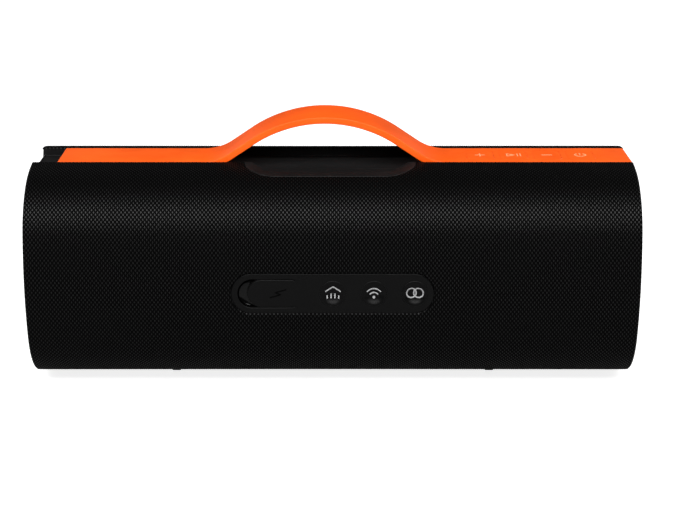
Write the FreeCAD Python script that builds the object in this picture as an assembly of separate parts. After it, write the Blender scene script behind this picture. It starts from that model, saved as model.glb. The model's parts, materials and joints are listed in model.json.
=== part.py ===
import FreeCAD, Part
import math
import os

from FreeCAD import Vector

# Portable wireless speaker: a fabric-wrapped barrel with a bendable carrying strap on top.
# Frame: X along the barrel, +Y towards the listener, Z up, origin on the table under the middle.

# ---- barrel ----
body_length = 290.0
body_depth = 108.0
body_height = 107.0
side_radius = 112.7
corner_radius = 34.0
foot_height = 1.5
fabric_thickness = 1.2
skin_gap = 0.1
housing_wall = 2.5
seam_gasket = 1.0
seam_flange_thickness = 2.5
seam_flange_height = 9.0
part_gap = 0.1
seam_screw_rise = 5.4
panel_frame_width = 3.0
head_clearance = 0.1
screw_end = 1.0
cut_over = 1.0

# ---- strap and its channel ----
strap_width = 30.0
strap_thickness = 3.2
strap_rise_gap = 0.1
channel_depth = 5.1
channel_side_gap = 0.4
channel_wall = 1.4
channel_floor = 2.5
flange_reach = 9.2
strap_end_inset = 0.3
arch_middle_x = -3.8
bend_angle = 17.0
foot_chord = 7.98
ramp_chord = 25.2
crown_chord = 18.92
knuckle_clearance = 0.05
slide_end_gap = 12.0
scoop_left_x = -28.0
scoop_right_x = 25.0
scoop_left_reach = 13.0
scoop_right_reach = 14.0
scoop_width = 14.0
scoop_slope = 0.105
scoop_lip = 1.2
scoop_lip_inset = 0.4
channel_flange_drop = 2.0
channel_rib = 2.0
channel_lip_round = 1.5
channel_screw_bore = 10.0

# ---- strap slider ----
slider_stem_inset = 23.0
slider_stem_length = 12.0
slider_stem_width = 8.0
slider_shoe_length = 30.0
slider_shoe_width = 20.0
slider_shoe_thickness = 2.2
slider_gap = 0.3
strap_pilot_depth = 2.1
strap_screw_bite = 2.0
anchor_screw_inset = 1.5
anchor_left_gap = 4.2
anchor_right_gap = 5.0
anchor_half_length = 3.5
anchor_margin = 4.0
anchor_thickness = 1.5

# ---- strap keys ----
key_names = ["volume_up_key", "play_key", "volume_down_key", "power_key"]
first_key_inset = 72.8
key_pitch = 16.4
key_length = 13.4
key_width = 20.0
key_corner = 3.4
key_gap = 0.06
key_flange = 0.8
key_flange_thickness = 0.6
key_cap_thickness = 2.5
key_stem = 3.0
key_travel = 0.5
key_stem_drop = 3.2
key_switch_side = 5.2
key_switch_height = 1.1
plunger_rise = 0.3
key_clearance = 0.2
key_post_y = 7.0
key_post_radius = 2.2
key_pilot_depth = 3.5
key_screw_bite = 3.0
key_board_margin = 6.0
key_board_half_width = 11.0

# ---- rear panel ----
panel_length = 95.7
panel_height = 19.5
panel_drop = 2.7
panel_recess = 1.0
panel_thickness = 2.2
panel_plug_depth = 3.8
panel_ledge = 1.6
panel_gasket = 0.6
panel_ledge_thickness = 2.0
seal_inset = 0.2
pocket_left_x = -44.6
pocket_right_x = -13.2
pocket_height = 13.5
pocket_depth = 2.1
cover_notch = 4.4
cover_thickness = 1.9
cover_gap = 0.15
cover_hinge_radius = 0.7
cover_opening = 90.0
cover_pin_radius = 0.35
pin_clearance = 0.05
cover_pin_length = 12.0
button_names = ["bass_button", "wireless_button", "pairing_button"]
first_button_x = 0.2
button_pitch = 19.3
button_radius = 6.1
button_gap = 0.2
button_cap = 2.8
button_flange = 0.6
button_flange_thickness = 0.8
button_stem_radius = 1.5
button_travel = 0.6
dish_radius = 25.0
dish_rim = 0.6
button_flange_gap = 0.2
button_neck = 0.5
button_stem_gap = 0.05

# ---- socket and rear board ----
socket_x = -29.0
socket_width = 8.94
socket_height = 3.26
socket_wall = 0.3
socket_depth = 6.0
socket_setback = 0.2
tongue_half_width = 3.35
tongue_half_thickness = 0.35
tongue_inset = 1.0
board_thickness = 1.6
rear_board_setback = 9.0
rear_board_height = 15.0
post_radius = 1.9
left_post_x = [-38.0, -19.5]
post_pilot_depth = 5.6
post_screw_bite = 5.0
rear_board_left_margin = 5.0
rear_board_right_margin = 8.0
switch_side = 6.0
switch_height = 2.4
plunger_radius = 1.2
plunger_reach = 0.5

# ---- drivers ----
driver_x = 70.0
driver_wall_gap = 0.8
driver_screw_reach = 3.5
driver_pilot_depth = 4.0
driver_screw_bite = 3.4
driver_ring_inset = 0.4
driver_flange_radius = 33.5
driver_screw_head = 1.7
driver_flange_thickness = 2.0
cone_radius = 24.0
cone_depth = 8.0
surround_width = 4.0
surround_rise = 1.8
sheet_thickness = 0.8
magnet_radius = 20.0
magnet_thickness = 12.0
driver_depth = 18.0
driver_frame_wall = 1.6
driver_neck_thickness = 1.5
driver_window_half_width = 6.0
driver_window_base = 4.0
driver_window_setback = 2.5
driver_window_inner = 10.0
driver_window_outer = 40.0
cone_setback = 2.2
dome_rise = 2.4
dome_shoulder_rise = 2.0
dome_shoulder_radius = 3.5
coil_radius = 7.0
coil_wall = 1.0
coil_lift = 2.6
coil_gap_radius = 8.0
coil_gap_depth = 6.0
pole_radius = 6.0
pole_depth = 7.0
pole_length = 8.5
edge_gap = 0.1
grille_slot = 4.0
grille_bar = 3.0
grille_back = 0.5

# ---- end caps and radiators ----
end_recess = 1.4
cap_thickness = 4.0
cap_spigot = 4.0
radiator_drop = 2.0
radiator_radius = 27.0
radiator_surround = 9.0
radiator_rise = 2.6
cap_bore_gap = 0.5
cap_spigot_wall = 2.2
seat_width = 2.2
seat_depth = 1.6
seat_gap = 0.1
radiator_rim_thickness = 1.4
radiator_plate_thickness = 0.8
radiator_bevel = 3.0
radiator_bevel_rise = 0.4
radiator_dish_radius = 9.0
radiator_dish_inset = 1.0
weight_thickness = 3.0
weight_lift = 0.2

# ---- battery and main board ----
cell_radius = 9.2
cell_length = 65.0
cell_spacing = 1.0
cell_places = [(-12.3, 20.0), (-31.3, 23.2)]
holder_margin = 1.5
holder_seam_gap = 0.4
holder_wall_gap = 0.3
holder_drop = 2.0
holder_bore_gap = 0.15
holder_screw_gap = 0.3
holder_least_volume = 50.0
main_board_setback = 7.4
main_board_length = 124.0
main_board_bottom = 36.5
main_board_height = 46.0
boss_radius = 3.0
boss_pilot_depth = 7.0
boss_screw_bite = 6.0
board_hole_inset = 5.0
fin_count = 7
fin_pitch = 4.0
fin_thickness = 1.4
fin_height = 10.0
heat_sink_left = 10.0
heat_sink_base = 2.0
heat_sink_low = 46.0
heat_sink_high = 72.0
chip_outlines = [(-40.0, -28.0, 50.0, 62.0), (-20.0, -4.0, 56.0, 72.0), (-46.0, -38.0, 68.0, 76.0)]
chip_heights = [1.4, 1.2, 8.0]

# ---- feet and screws ----
foot_inset = 67.0
foot_width = 5.0
foot_length = 34.0
foot_corner = 2.4
screw_radius = 1.25
screw_head_radius = 2.3
screw_head_height = 1.3
small_screw_radius = 0.85
small_head_radius = 1.5
small_head_height = 1.1
screw_clearance = 0.05
channel_screw_insets = (30.0, 73.0)
seam_screw_inset = 25.0
seam_screw_x = 50.0

# ---- sizes worked out from the ones above ----
half_length = body_length / 2
half_depth = body_depth / 2
half_height = body_height / 2
middle_z = foot_height + half_height
top_z = middle_z + half_height
housing_out = fabric_thickness + skin_gap
housing_in = housing_out + housing_wall
half_strap = strap_width / 2
trough_half = half_strap + channel_side_gap
tray_half = trough_half + channel_wall
floor_z = top_z - channel_depth
floor_under_z = floor_z - channel_floor
strap_under_z = floor_z + strap_rise_gap
strap_top_z = strap_under_z + strap_thickness
pivot_z = strap_under_z + strap_thickness / 2
cap_face_x = half_length - end_recess
cap_back_x = cap_face_x - cap_thickness
housing_half = cap_back_x - part_gap
panel_face_y = -(half_depth - panel_recess)
panel_back_y = panel_face_y + panel_thickness
ledge_y = panel_back_y + panel_gasket
plug_back_y = panel_back_y + panel_plug_depth
key_cap_bottom_z = strap_top_z - key_cap_thickness
first_key_x = half_length - first_key_inset
slide_end_rest_x = slide_end_gap - half_length
slider_stem_x = slide_end_rest_x + slider_stem_inset
foot_x = half_length - foot_inset
panel_z = middle_z - panel_drop
driver_z = middle_z
radiator_z = middle_z - radiator_drop
rear_board_y = panel_face_y + rear_board_setback
main_board_y = rear_board_y + main_board_setback
seam_screw_z = foot_height + housing_in + seam_screw_rise
screw_bore = screw_radius + screw_clearance
small_screw_bore = small_screw_radius + screw_clearance


def save(shape, name):
    """Write one node, as a plain solid where it is only one."""
    shape = shape.removeSplitter()
    if len(shape.Solids) == 1:
        shape = shape.Solids[0]
    print(name, round(shape.Volume, 1), shape.isValid(), len(shape.Solids))
    shape.exportStep("parts/" + name + ".step")


def block(x0, x1, y0, y1, z0, z1):
    return Part.makeBox(x1 - x0, y1 - y0, z1 - z0, Vector(x0, y0, z0))


def rod(start, axis, radius, length):
    return Part.makeCylinder(radius, length, Vector(*start), Vector(*axis))


def arc_edge(centre, radius, start, end, place):
    """Arc from one angle to another, in the plane that place maps to space."""
    points = []
    for angle in (start, (start + end) / 2, end):
        u = centre[0] + radius * math.cos(angle)
        v = centre[1] + radius * math.sin(angle)
        points.append(place(u, v))
    return Part.Arc(*points).toShape()


def section_arcs(inset):
    """Centres, radii and angles of the barrel's eight tangent arcs, shrunk by inset."""
    side = (half_depth - side_radius, 0.0)
    top = (0.0, half_height - side_radius)
    span = math.hypot(top[0] - side[0], top[1] - side[1])
    rise = math.sqrt((side_radius - corner_radius) ** 2 - span ** 2 / 4)
    along = ((top[0] - side[0]) / span, (top[1] - side[1]) / span)
    corner_y = (side[0] + top[0]) / 2 + along[1] * rise
    corner_z = (side[1] + top[1]) / 2 - along[0] * rise
    if corner_y < 0:
        corner_y = (side[0] + top[0]) / 2 - along[1] * rise
        corner_z = (side[1] + top[1]) / 2 + along[0] * rise
    low = math.atan2(corner_z, corner_y - side[0])
    high = math.atan2(corner_z - top[1], corner_y)
    big = side_radius - inset
    small = corner_radius - inset
    half_turn = math.pi
    return [
        (side, big, -low, low),
        ((corner_y, corner_z), small, low, high),
        (top, big, high, half_turn - high),
        ((-corner_y, corner_z), small, half_turn - high, half_turn - low),
        ((-side[0], 0.0), big, half_turn - low, half_turn + low),
        ((-corner_y, -corner_z), small, half_turn + low, half_turn + high),
        ((0.0, -top[1]), big, half_turn + high, 2 * half_turn - high),
        ((corner_y, -corner_z), small, 2 * half_turn - high, 2 * half_turn - low),
    ]


def barrel(inset, x0, x1):
    """Solid barrel with its section shrunk by inset, from x0 to x1."""
    edges = []
    for centre, radius, start, end in section_arcs(inset):
        edges.append(arc_edge(centre, radius, start, end, lambda u, v: Vector(x0, u, middle_z + v)))
    return Part.Face(Part.Wire(edges)).extrude(Vector(x1 - x0, 0, 0))


def side_reach(rise, inset):
    """Half-depth of the shrunk section at a height above or below its middle."""
    arcs = section_arcs(inset)
    centre, radius, start, end = arcs[0]
    if abs(rise) > radius * math.sin(end):
        centre, radius, start, end = arcs[1]
    return centre[0] + math.sqrt(radius ** 2 - (abs(rise) - centre[1]) ** 2)


def top_height(y, inset):
    """Height of the shrunk section's top arc at a distance y from the middle."""
    radius = side_radius - inset
    return middle_z + half_height - side_radius + math.sqrt(radius ** 2 - y ** 2)


def pill(x0, x1, z_middle, height, y0, y1):
    """Flat-sided pill, long in X, extruded along Y."""
    radius = height / 2
    middle = block(x0 + radius, x1 - radius, y0, y1, z_middle - radius, z_middle + radius)
    left = rod((x0 + radius, y0, z_middle), (0, 1, 0), radius, y1 - y0)
    right = rod((x1 - radius, y0, z_middle), (0, 1, 0), radius, y1 - y0)
    return middle.fuse([left, right]).removeSplitter()


def panel_pill(grow, y0, y1):
    half = panel_length / 2 + grow
    return pill(-half, half, panel_z, panel_height + 2 * grow, y0, y1)


def rounded_plate(x_middle, length, width, corner, z0, z1):
    """Plate in plan with rounded corners."""
    plate = block(x_middle - length / 2, x_middle + length / 2, -width / 2, width / 2, z0, z1)
    upright = [e for e in plate.Edges if abs(e.Vertexes[0].Z - e.Vertexes[1].Z) > (z1 - z0) / 2]
    return plate.makeFillet(corner, upright)


def turned(profile, centre, axis, mirror=1.0):
    """Solid turned from a closed list of (radius, along) points round an X or Y axis."""
    points = []
    for radius, along in profile:
        if axis == "x":
            points.append(Vector(centre[0] + mirror * along, centre[1], centre[2] + radius))
        else:
            points.append(Vector(centre[0] + radius, centre[1] + along, centre[2]))
    points.append(points[0])
    face = Part.Face(Part.makePolygon(points))
    direction = Vector(1, 0, 0) if axis == "x" else Vector(0, 1, 0)
    solid = face.revolve(Vector(*centre), direction, 360)
    if solid.Volume < 0:
        solid.reverse()
    return solid


def screw(head_base, axis, shank, radius, head_radius, head_height):
    """Screw whose head starts at head_base and whose shank runs along axis."""
    x, y, z = head_base
    start = (x - axis[0] * head_height, y - axis[1] * head_height, z - axis[2] * head_height)
    head = rod(start, axis, head_radius, head_height)
    return head.fuse(rod(start, axis, radius, head_height + shank)).removeSplitter()


# ---- places that several pieces share ----
driver_face_y = side_reach(driver_flange_radius, housing_in) - driver_wall_gap


def key_places():
    return [first_key_x + key_pitch * i for i in range(len(key_names))]


def button_places():
    return [first_button_x + button_pitch * i for i in range(len(button_names))]


def post_places():
    first = first_button_x + button_pitch / 2
    return left_post_x + [first, first + button_pitch]


def tray_screw_places():
    reach = tray_half + flange_reach / 2
    spots = [half_length - inset for inset in channel_screw_insets]
    return [(side * x, y) for x in spots for side in (-1, 1) for y in (-reach, reach)]


def seam_screw_places():
    outer = half_length - seam_screw_inset
    return [-outer, -seam_screw_x, seam_screw_x, outer]


def driver_screw_places(x_middle):
    reach = cone_radius + surround_width + driver_screw_reach
    spots = []
    for quarter in range(4):
        angle = math.radians(45 + 90 * quarter)
        spots.append((x_middle + reach * math.cos(angle), driver_z + reach * math.sin(angle)))
    return spots


def boss_places():
    x = main_board_length / 2 - board_hole_inset
    low = main_board_bottom + board_hole_inset
    high = main_board_bottom + main_board_height - board_hole_inset
    return [(-x, low), (x, low), (-x, high), (x, high)]


def anchor_places():
    reach = key_width / 2 - anchor_screw_inset
    keys = key_places()
    left = keys[0] - key_length / 2 - key_flange - anchor_left_gap
    right = keys[-1] + key_length / 2 + key_flange + anchor_right_gap
    return [(left, reach), (right, reach)]


# ---- scoop: the finger recess beside the strap ----
def scoop_cut():
    """Everything above the scooped surface, which rises outwards and up at both ends."""
    depth = channel_depth + 2.0
    left_x = scoop_left_x - scoop_left_reach
    right_x = scoop_right_x + scoop_right_reach
    left_radius = (scoop_left_reach ** 2 + channel_depth ** 2) / (2 * channel_depth)
    right_radius = (scoop_right_reach ** 2 + channel_depth ** 2) / (2 * channel_depth)
    left_turn = math.asin(scoop_left_reach / left_radius)
    right_turn = math.asin(scoop_right_reach / right_radius)
    y_start = -(half_strap - 1.0)
    run = half_depth

    def place(u, v):
        return Vector(u, y_start, v)

    down = -math.pi / 2
    left_arc = arc_edge((scoop_left_x, floor_z + left_radius), left_radius, down - left_turn, down, place)
    right_arc = arc_edge((scoop_right_x, floor_z + right_radius), right_radius, down, down + right_turn,
                         place)
    floor_line = Part.LineSegment(place(scoop_left_x, floor_z), place(scoop_right_x, floor_z)).toShape()
    rim = floor_z + channel_depth
    up_right = Part.LineSegment(place(right_x, rim), place(right_x, rim + depth)).toShape()
    over = Part.LineSegment(place(right_x, rim + depth), place(left_x, rim + depth)).toShape()
    down_left = Part.LineSegment(place(left_x, rim + depth), place(left_x, rim)).toShape()
    wire = Part.Wire([left_arc, floor_line, right_arc, up_right, over, down_left])
    return Part.Face(wire).extrude(Vector(0, -run, run * scoop_slope))


def scoop_outline(grow, z0, z1):
    """Upright prism over the lens-shaped plan of the scoop."""
    inner_y = -trough_half + 1.0
    outer_y = -(trough_half + scoop_width + grow)
    drop = inner_y - outer_y
    left_reach = scoop_left_reach + grow
    right_reach = scoop_right_reach + grow
    left_x = scoop_left_x - left_reach
    right_x = scoop_right_x + right_reach
    left_radius = (left_reach ** 2 + drop ** 2) / (2 * drop)
    right_radius = (right_reach ** 2 + drop ** 2) / (2 * drop)
    left_turn = math.acos(1 - drop / left_radius)
    right_turn = math.acos(1 - drop / right_radius)

    def place(u, v):
        return Vector(u, v, z0)

    down = -math.pi / 2
    edges = [
        arc_edge((scoop_left_x, outer_y + left_radius), left_radius, down - left_turn, down, place),
        Part.LineSegment(place(scoop_left_x, outer_y), place(scoop_right_x, outer_y)).toShape(),
        arc_edge((scoop_right_x, outer_y + right_radius), right_radius, down, down + right_turn, place),
        Part.LineSegment(place(right_x, inner_y), place(left_x, inner_y)).toShape(),
    ]
    return Part.Face(Part.Wire(edges)).extrude(Vector(0, 0, z1 - z0))


# ---- skin and housing ----
def foot_block(x_middle, grow):
    x0 = x_middle - foot_width / 2 - grow
    x1 = x_middle + foot_width / 2 + grow
    solid = block(x0, x1, -foot_length / 2 - grow, foot_length / 2 + grow, 0, middle_z / 2)
    upright = [e for e in solid.Edges if abs(e.Vertexes[0].Z - e.Vertexes[1].Z) > foot_height]
    return solid.makeFillet(foot_corner, upright)


def make_fabric():
    inside = barrel(fabric_thickness, -half_length - 1, half_length + 1)
    skin = barrel(0, -half_length, half_length).cut(inside)
    slot = block(-half_length - 1, half_length + 1, -trough_half, trough_half, middle_z, top_z + 1)
    opening = panel_pill(part_gap, -half_depth - 1, 0)
    lens = scoop_outline(scoop_lip + part_gap, middle_z, top_z + 1)
    feet = [foot_block(x, part_gap) for x in (-foot_x, foot_x)]
    save(skin.cut([slot, opening, lens] + feet), "fabric_grille")


def housing_half_shell(side):
    """One half of the inner housing, side -1 for the rear and 1 for the front."""
    shell = barrel(housing_out, -housing_half, housing_half)
    shell = shell.cut(barrel(housing_in, -housing_half - 1, housing_half + 1))
    edge = seam_gasket / 2
    low = edge if side > 0 else -half_depth
    high = half_depth if side > 0 else -edge
    keep = block(-half_length, half_length, low, high, 0, top_z)
    shell = shell.common(keep)
    flange_y = side * (edge + seam_flange_thickness)
    flange = block(-housing_half, housing_half, min(side * edge, flange_y), max(side * edge, flange_y),
                   0, foot_height + housing_in + seam_flange_height)
    flange = flange.common(barrel(housing_out, -housing_half, housing_half))
    shell = shell.fuse(flange)
    reach = tray_half + part_gap
    slot = block(-half_length, half_length, -reach, reach, middle_z, top_z)
    holes = [slot]
    through = 2 * (seam_flange_thickness + seam_gasket)
    for x in seam_screw_places():
        holes.append(rod((x, -through, seam_screw_z), (0, 1, 0), screw_bore, 2 * through))
    for x, y in tray_screw_places():
        if y * side > 0:
            holes.append(rod((x, y, middle_z), (0, 0, 1), screw_bore, half_height))
            seat_z = top_height(abs(y) + screw_head_radius, housing_out) - screw_head_height
            holes.append(rod((x, y, seat_z), (0, 0, 1), screw_head_radius + head_clearance, half_height))
    return shell.cut(holes)


def make_front_housing():
    shell = housing_half_shell(1)
    inner = barrel(housing_out + driver_ring_inset, -housing_half, housing_half)
    cuts = []
    rings = []
    for x in (-driver_x, driver_x):
        ring = rod((x, driver_face_y, driver_z), (0, 1, 0), driver_flange_radius, half_depth)
        ring = ring.cut(rod((x, driver_face_y - 1, driver_z), (0, 1, 0), cone_radius + surround_width,
                            half_depth))
        rings.append(ring.common(inner))
        for hole_x, hole_z in driver_screw_places(x):
            cuts.append(rod((hole_x, driver_face_y - cut_over, hole_z), (0, 1, 0), screw_bore,
                            driver_pilot_depth + cut_over))
        count = int(2 * cone_radius / (grille_slot + grille_bar))
        for i in range(count):
            slot_x = x + (i - (count - 1) / 2) * (grille_slot + grille_bar)
            half = math.sqrt(cone_radius ** 2 - (abs(slot_x - x) + grille_slot / 2) ** 2)
            cuts.append(block(slot_x - grille_slot / 2, slot_x + grille_slot / 2,
                              driver_face_y + grille_back, half_depth, driver_z - half, driver_z + half))
    save(shell.fuse(rings).cut(cuts), "front_housing")


def make_rear_housing():
    shell = housing_half_shell(-1)
    solid = barrel(housing_out, -housing_half, housing_half)
    frame = panel_pill(panel_frame_width, -half_depth, ledge_y + panel_ledge_thickness).common(solid)
    extras = [frame]
    cuts = [panel_pill(part_gap, -half_depth - 1, ledge_y)]
    cuts.append(panel_pill(part_gap - panel_ledge, -half_depth - 1, 0))
    reach = tray_half + part_gap
    lens = scoop_outline(scoop_lip + part_gap, middle_z, top_z)
    wide = block(scoop_left_x - scoop_left_reach - scoop_lip, scoop_right_x + scoop_right_reach + scoop_lip,
                 -reach - 1, 0, middle_z, top_z)
    cuts += [lens, wide]
    for x, z in boss_places():
        boss = rod((x, main_board_y, z), (0, -1, 0), boss_radius, half_depth).common(solid)
        extras.append(boss)
        cuts.append(rod((x, main_board_y + cut_over, z), (0, -1, 0), small_screw_bore,
                        boss_pilot_depth + cut_over))
    shell = shell.fuse(extras).cut(cuts)
    save(max(shell.Solids, key=lambda s: s.Volume), "rear_housing")


def make_seam_gasket():
    shell = barrel(housing_out, -housing_half, housing_half)
    shell = shell.cut(barrel(housing_in, -housing_half - 1, housing_half + 1))
    half = seam_gasket / 2
    strip = shell.common(block(-half_length, half_length, -half, half, 0, middle_z))
    save(strip, "housing_seal")


def make_housing_screws():
    head_y = -(seam_gasket / 2 + seam_flange_thickness)
    shank = 2 * (seam_gasket / 2 + seam_flange_thickness) + screw_end
    screws = [screw((x, head_y, seam_screw_z), (0, 1, 0), shank, screw_radius, screw_head_radius,
                    screw_head_height) for x in seam_screw_places()]
    save(Part.makeCompound(screws), "housing_screws")


def make_feet():
    for name, x in (("left_foot", -foot_x), ("right_foot", foot_x)):
        solid = foot_block(x, 0).cut(barrel(housing_out - part_gap / 2, -half_length, half_length))
        save(solid, name)


# ---- channel under the strap ----
def make_channel():
    long_end = half_length - strap_end_inset
    tray = block(-long_end, cap_face_x, -tray_half, tray_half, floor_under_z, top_z)
    tray = tray.common(barrel(housing_out, -long_end, long_end))
    flange_half = tray_half + flange_reach
    flange = block(-housing_half, housing_half, -flange_half, flange_half,
                   floor_under_z - channel_flange_drop, top_z)
    flange = flange.common(barrel(housing_in + part_gap, -housing_half, housing_half))
    pad = scoop_outline(scoop_lip, floor_under_z - channel_flange_drop, top_z)
    pad = pad.common(barrel(scoop_lip_inset, -half_length, half_length))
    solid = tray.fuse([flange, pad])
    under = block(-half_length, half_length, channel_rib - trough_half, trough_half - channel_rib,
                  floor_under_z - channel_flange_drop - cut_over, floor_under_z)
    trough = block(-half_length, half_length, -trough_half, trough_half, floor_z, top_z)
    cuts = [under, trough, scoop_cut()]
    slot_left = slider_stem_x - slider_stem_length / 2 - strap_travel() - slider_gap
    slot_right = slider_stem_x + slider_stem_length / 2 + slider_gap
    slot_half = slider_stem_width / 2 + slider_gap
    cuts.append(block(slot_left, slot_right, -slot_half, slot_half, floor_under_z - 1, floor_z + 1))
    for x in key_places():
        half = key_stem / 2 + key_clearance
        cuts.append(block(x - half, x + half, -half, half, floor_under_z - 1, floor_z + 1))
    for x, reach in anchor_places():
        for y in (-reach, reach):
            cuts.append(rod((x, y, floor_under_z - cut_over), (0, 0, 1), screw_bore,
                            channel_floor + 2 * cut_over))
    for x, y in tray_screw_places():
        cuts.append(rod((x, y, floor_under_z - channel_flange_drop - cut_over), (0, 0, 1), screw_bore,
                        channel_screw_bore))
    posts = [rod((x, y, key_board_top()), (0, 0, 1), key_post_radius, floor_under_z - key_board_top())
             for x, y in key_board_posts()]
    solid = solid.cut(cuts).fuse(posts)
    pilots = [rod((x, y, key_board_top() - cut_over), (0, 0, 1), small_screw_bore,
                  key_pilot_depth + cut_over) for x, y in key_board_posts()]
    solid = solid.cut(pilots)
    lip = [e for e in solid.Edges if e.BoundBox.XMax < -long_end + 0.01
           and abs(e.BoundBox.ZMin - floor_z) < 0.01 and e.BoundBox.YLength > strap_width]
    if lip:
        solid = solid.makeFillet(channel_lip_round, lip)
    save(solid, "handle_channel")


def make_channel_screws():
    screws = []
    for x, y in tray_screw_places():
        seat_z = top_height(abs(y) + screw_head_radius, housing_out) - screw_head_height
        screws.append(screw((x, y, seat_z), (0, 0, -1), seat_z - floor_under_z, screw_radius,
                            screw_head_radius, screw_head_height))
    save(Part.makeCompound(screws), "channel_screws")


# ---- strap: a flat band that bends at eight places ----
def strap_headings():
    """Slope of each piece of the strap at rest, from the fixed end to the sliding one."""
    return [0, 1, 2, 1, 0, -1, -2, -1, 0]


def link_lengths():
    half = [foot_chord, ramp_chord, crown_chord]
    return half + [crown_chord] + half[::-1]


def hinge_places():
    """Pivots of the arched strap in X and Z, from right to left."""
    chord = sum(length * math.cos(math.radians(bend_angle * heading))
                for length, heading in zip(link_lengths(), strap_headings()[1:-1]))
    x = arch_middle_x + chord / 2
    z = pivot_z
    places = [(x, z)]
    for length, heading in zip(link_lengths(), strap_headings()[1:-1]):
        angle = math.radians(bend_angle * heading)
        x -= length * math.cos(angle)
        z += length * math.sin(angle)
        places.append((x, z))
    return places


def strap_travel():
    places = hinge_places()
    return sum(link_lengths()) - (places[0][0] - places[-1][0])


def knuckle(x, z, radius):
    return rod((x, -half_strap - 1, z), (0, 1, 0), radius, strap_width + 2)


def band(x_right, x_left, z_middle):
    half = strap_thickness / 2
    return block(x_left, x_right, -half_strap, half_strap, z_middle - half, z_middle + half)


def round_end(x, z_middle):
    return rod((x, -half_strap, z_middle), (0, 1, 0), strap_thickness / 2, strap_width)


def make_links():
    """Each link has a round nose on its left and a hollow for the next nose on its right."""
    places = hinge_places()
    half = strap_thickness / 2
    socket = half + knuckle_clearance
    setback = math.sqrt(socket ** 2 - half ** 2)
    for i, length in enumerate(link_lengths()):
        x, z = places[i]
        link = band(x - setback, x - length, z).cut(knuckle(x, z, socket))
        link = link.fuse(round_end(x - length, z))
        link = link.removeSplitter()
        link.rotate(Vector(x, 0, z), Vector(0, 1, 0), bend_angle * strap_headings()[i + 1])
        save(link, "strap_link_" + str(i + 1))


def make_fixed_end():
    first_x = hinge_places()[0][0]
    end_x = half_length - strap_end_inset
    solid = band(end_x, first_x, pivot_z).fuse(round_end(first_x, pivot_z)).removeSplitter()
    cuts = []
    for x in key_places():
        cuts.append(rounded_plate(x, key_length + 2 * key_gap, key_width + 2 * key_gap, key_corner + key_gap,
                                  strap_under_z - 1, strap_top_z + 1))
        pocket = key_flange + key_clearance
        cuts.append(rounded_plate(x, key_length + 2 * pocket, key_width + 2 * pocket, key_corner + pocket,
                                  strap_under_z - 1, key_ledge_z()))
    for x, reach in anchor_places():
        for y in (-reach, reach):
            cuts.append(rod((x, y, strap_under_z - cut_over), (0, 0, 1), screw_bore,
                            strap_pilot_depth + cut_over))
    save(solid.cut(cuts), "strap_fixed_end")


def make_sliding_end():
    x, z = hinge_places()[-1]
    half = strap_thickness / 2
    socket = half + knuckle_clearance
    setback = math.sqrt(socket ** 2 - half ** 2)
    solid = band(x - setback, slide_end_rest_x, z).cut(knuckle(x, z, socket))
    solid = solid.cut(rod((slider_stem_x, 0, strap_under_z - cut_over), (0, 0, 1), screw_bore,
                          strap_pilot_depth + cut_over))
    save(solid, "strap_sliding_end")


def make_slider():
    """Stem through the floor slot with a wide shoe below it."""
    shoe_top = floor_under_z - slider_gap
    base = shoe_top - slider_shoe_thickness
    stem = block(slider_stem_x - slider_stem_length / 2, slider_stem_x + slider_stem_length / 2,
                 -slider_stem_width / 2, slider_stem_width / 2, shoe_top - 1, strap_under_z)
    shoe = block(slider_stem_x - slider_shoe_length / 2, slider_stem_x + slider_shoe_length / 2,
                 -slider_shoe_width / 2, slider_shoe_width / 2, base, shoe_top)
    bore = rod((slider_stem_x, 0, base - cut_over), (0, 0, 1), screw_bore, strap_under_z - base + 2 * cut_over)
    save(stem.fuse(shoe).removeSplitter().cut(bore), "strap_slider")
    save(screw((slider_stem_x, 0, base), (0, 0, 1), strap_under_z + strap_screw_bite - base, screw_radius,
               screw_head_radius, screw_head_height), "slider_screw")


def make_anchors():
    plates = []
    screws = []
    plate_top = floor_under_z - part_gap / 2
    base = plate_top - anchor_thickness
    for x, reach in anchor_places():
        plate = block(x - anchor_half_length, x + anchor_half_length, -reach - anchor_margin,
                      reach + anchor_margin, base, plate_top)
        for y in (-reach, reach):
            plate = plate.cut(rod((x, y, base - cut_over), (0, 0, 1), screw_bore,
                                  anchor_thickness + 2 * cut_over))
            screws.append(screw((x, y, base), (0, 0, 1), strap_under_z + strap_screw_bite - base,
                                screw_radius, screw_head_radius, screw_head_height))
        plates.append(plate)
    save(Part.makeCompound(plates), "strap_anchor_plates")
    save(Part.makeCompound(screws), "strap_anchor_screws")


# ---- keys on the strap ----
def key_ledge_z():
    return strap_top_z - key_cap_thickness + key_flange_thickness


def key_stem_bottom():
    return floor_under_z - key_stem_drop


def key_board_top():
    """Top of the key board, a switch and the keys' travel below the stems."""
    return key_stem_bottom() - key_travel - part_gap / 2 - key_switch_height


def key_board_posts():
    keys = key_places()
    ends = (keys[0] + key_pitch / 2, keys[-1] - key_pitch / 2)
    return [(x, y) for x in ends for y in (-key_post_y, key_post_y)]


def make_keys():
    for name, x in zip(key_names, key_places()):
        cap = rounded_plate(x, key_length, key_width, key_corner, key_cap_bottom_z, strap_top_z)
        flange = rounded_plate(x, key_length + 2 * key_flange, key_width + 2 * key_flange,
                               key_corner + key_flange, key_cap_bottom_z,
                               key_ledge_z() - part_gap)
        half = key_stem / 2
        stem = block(x - half, x + half, -half, half, key_stem_bottom(), key_cap_bottom_z + 1)
        save(cap.fuse([flange, stem]), name)


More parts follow.
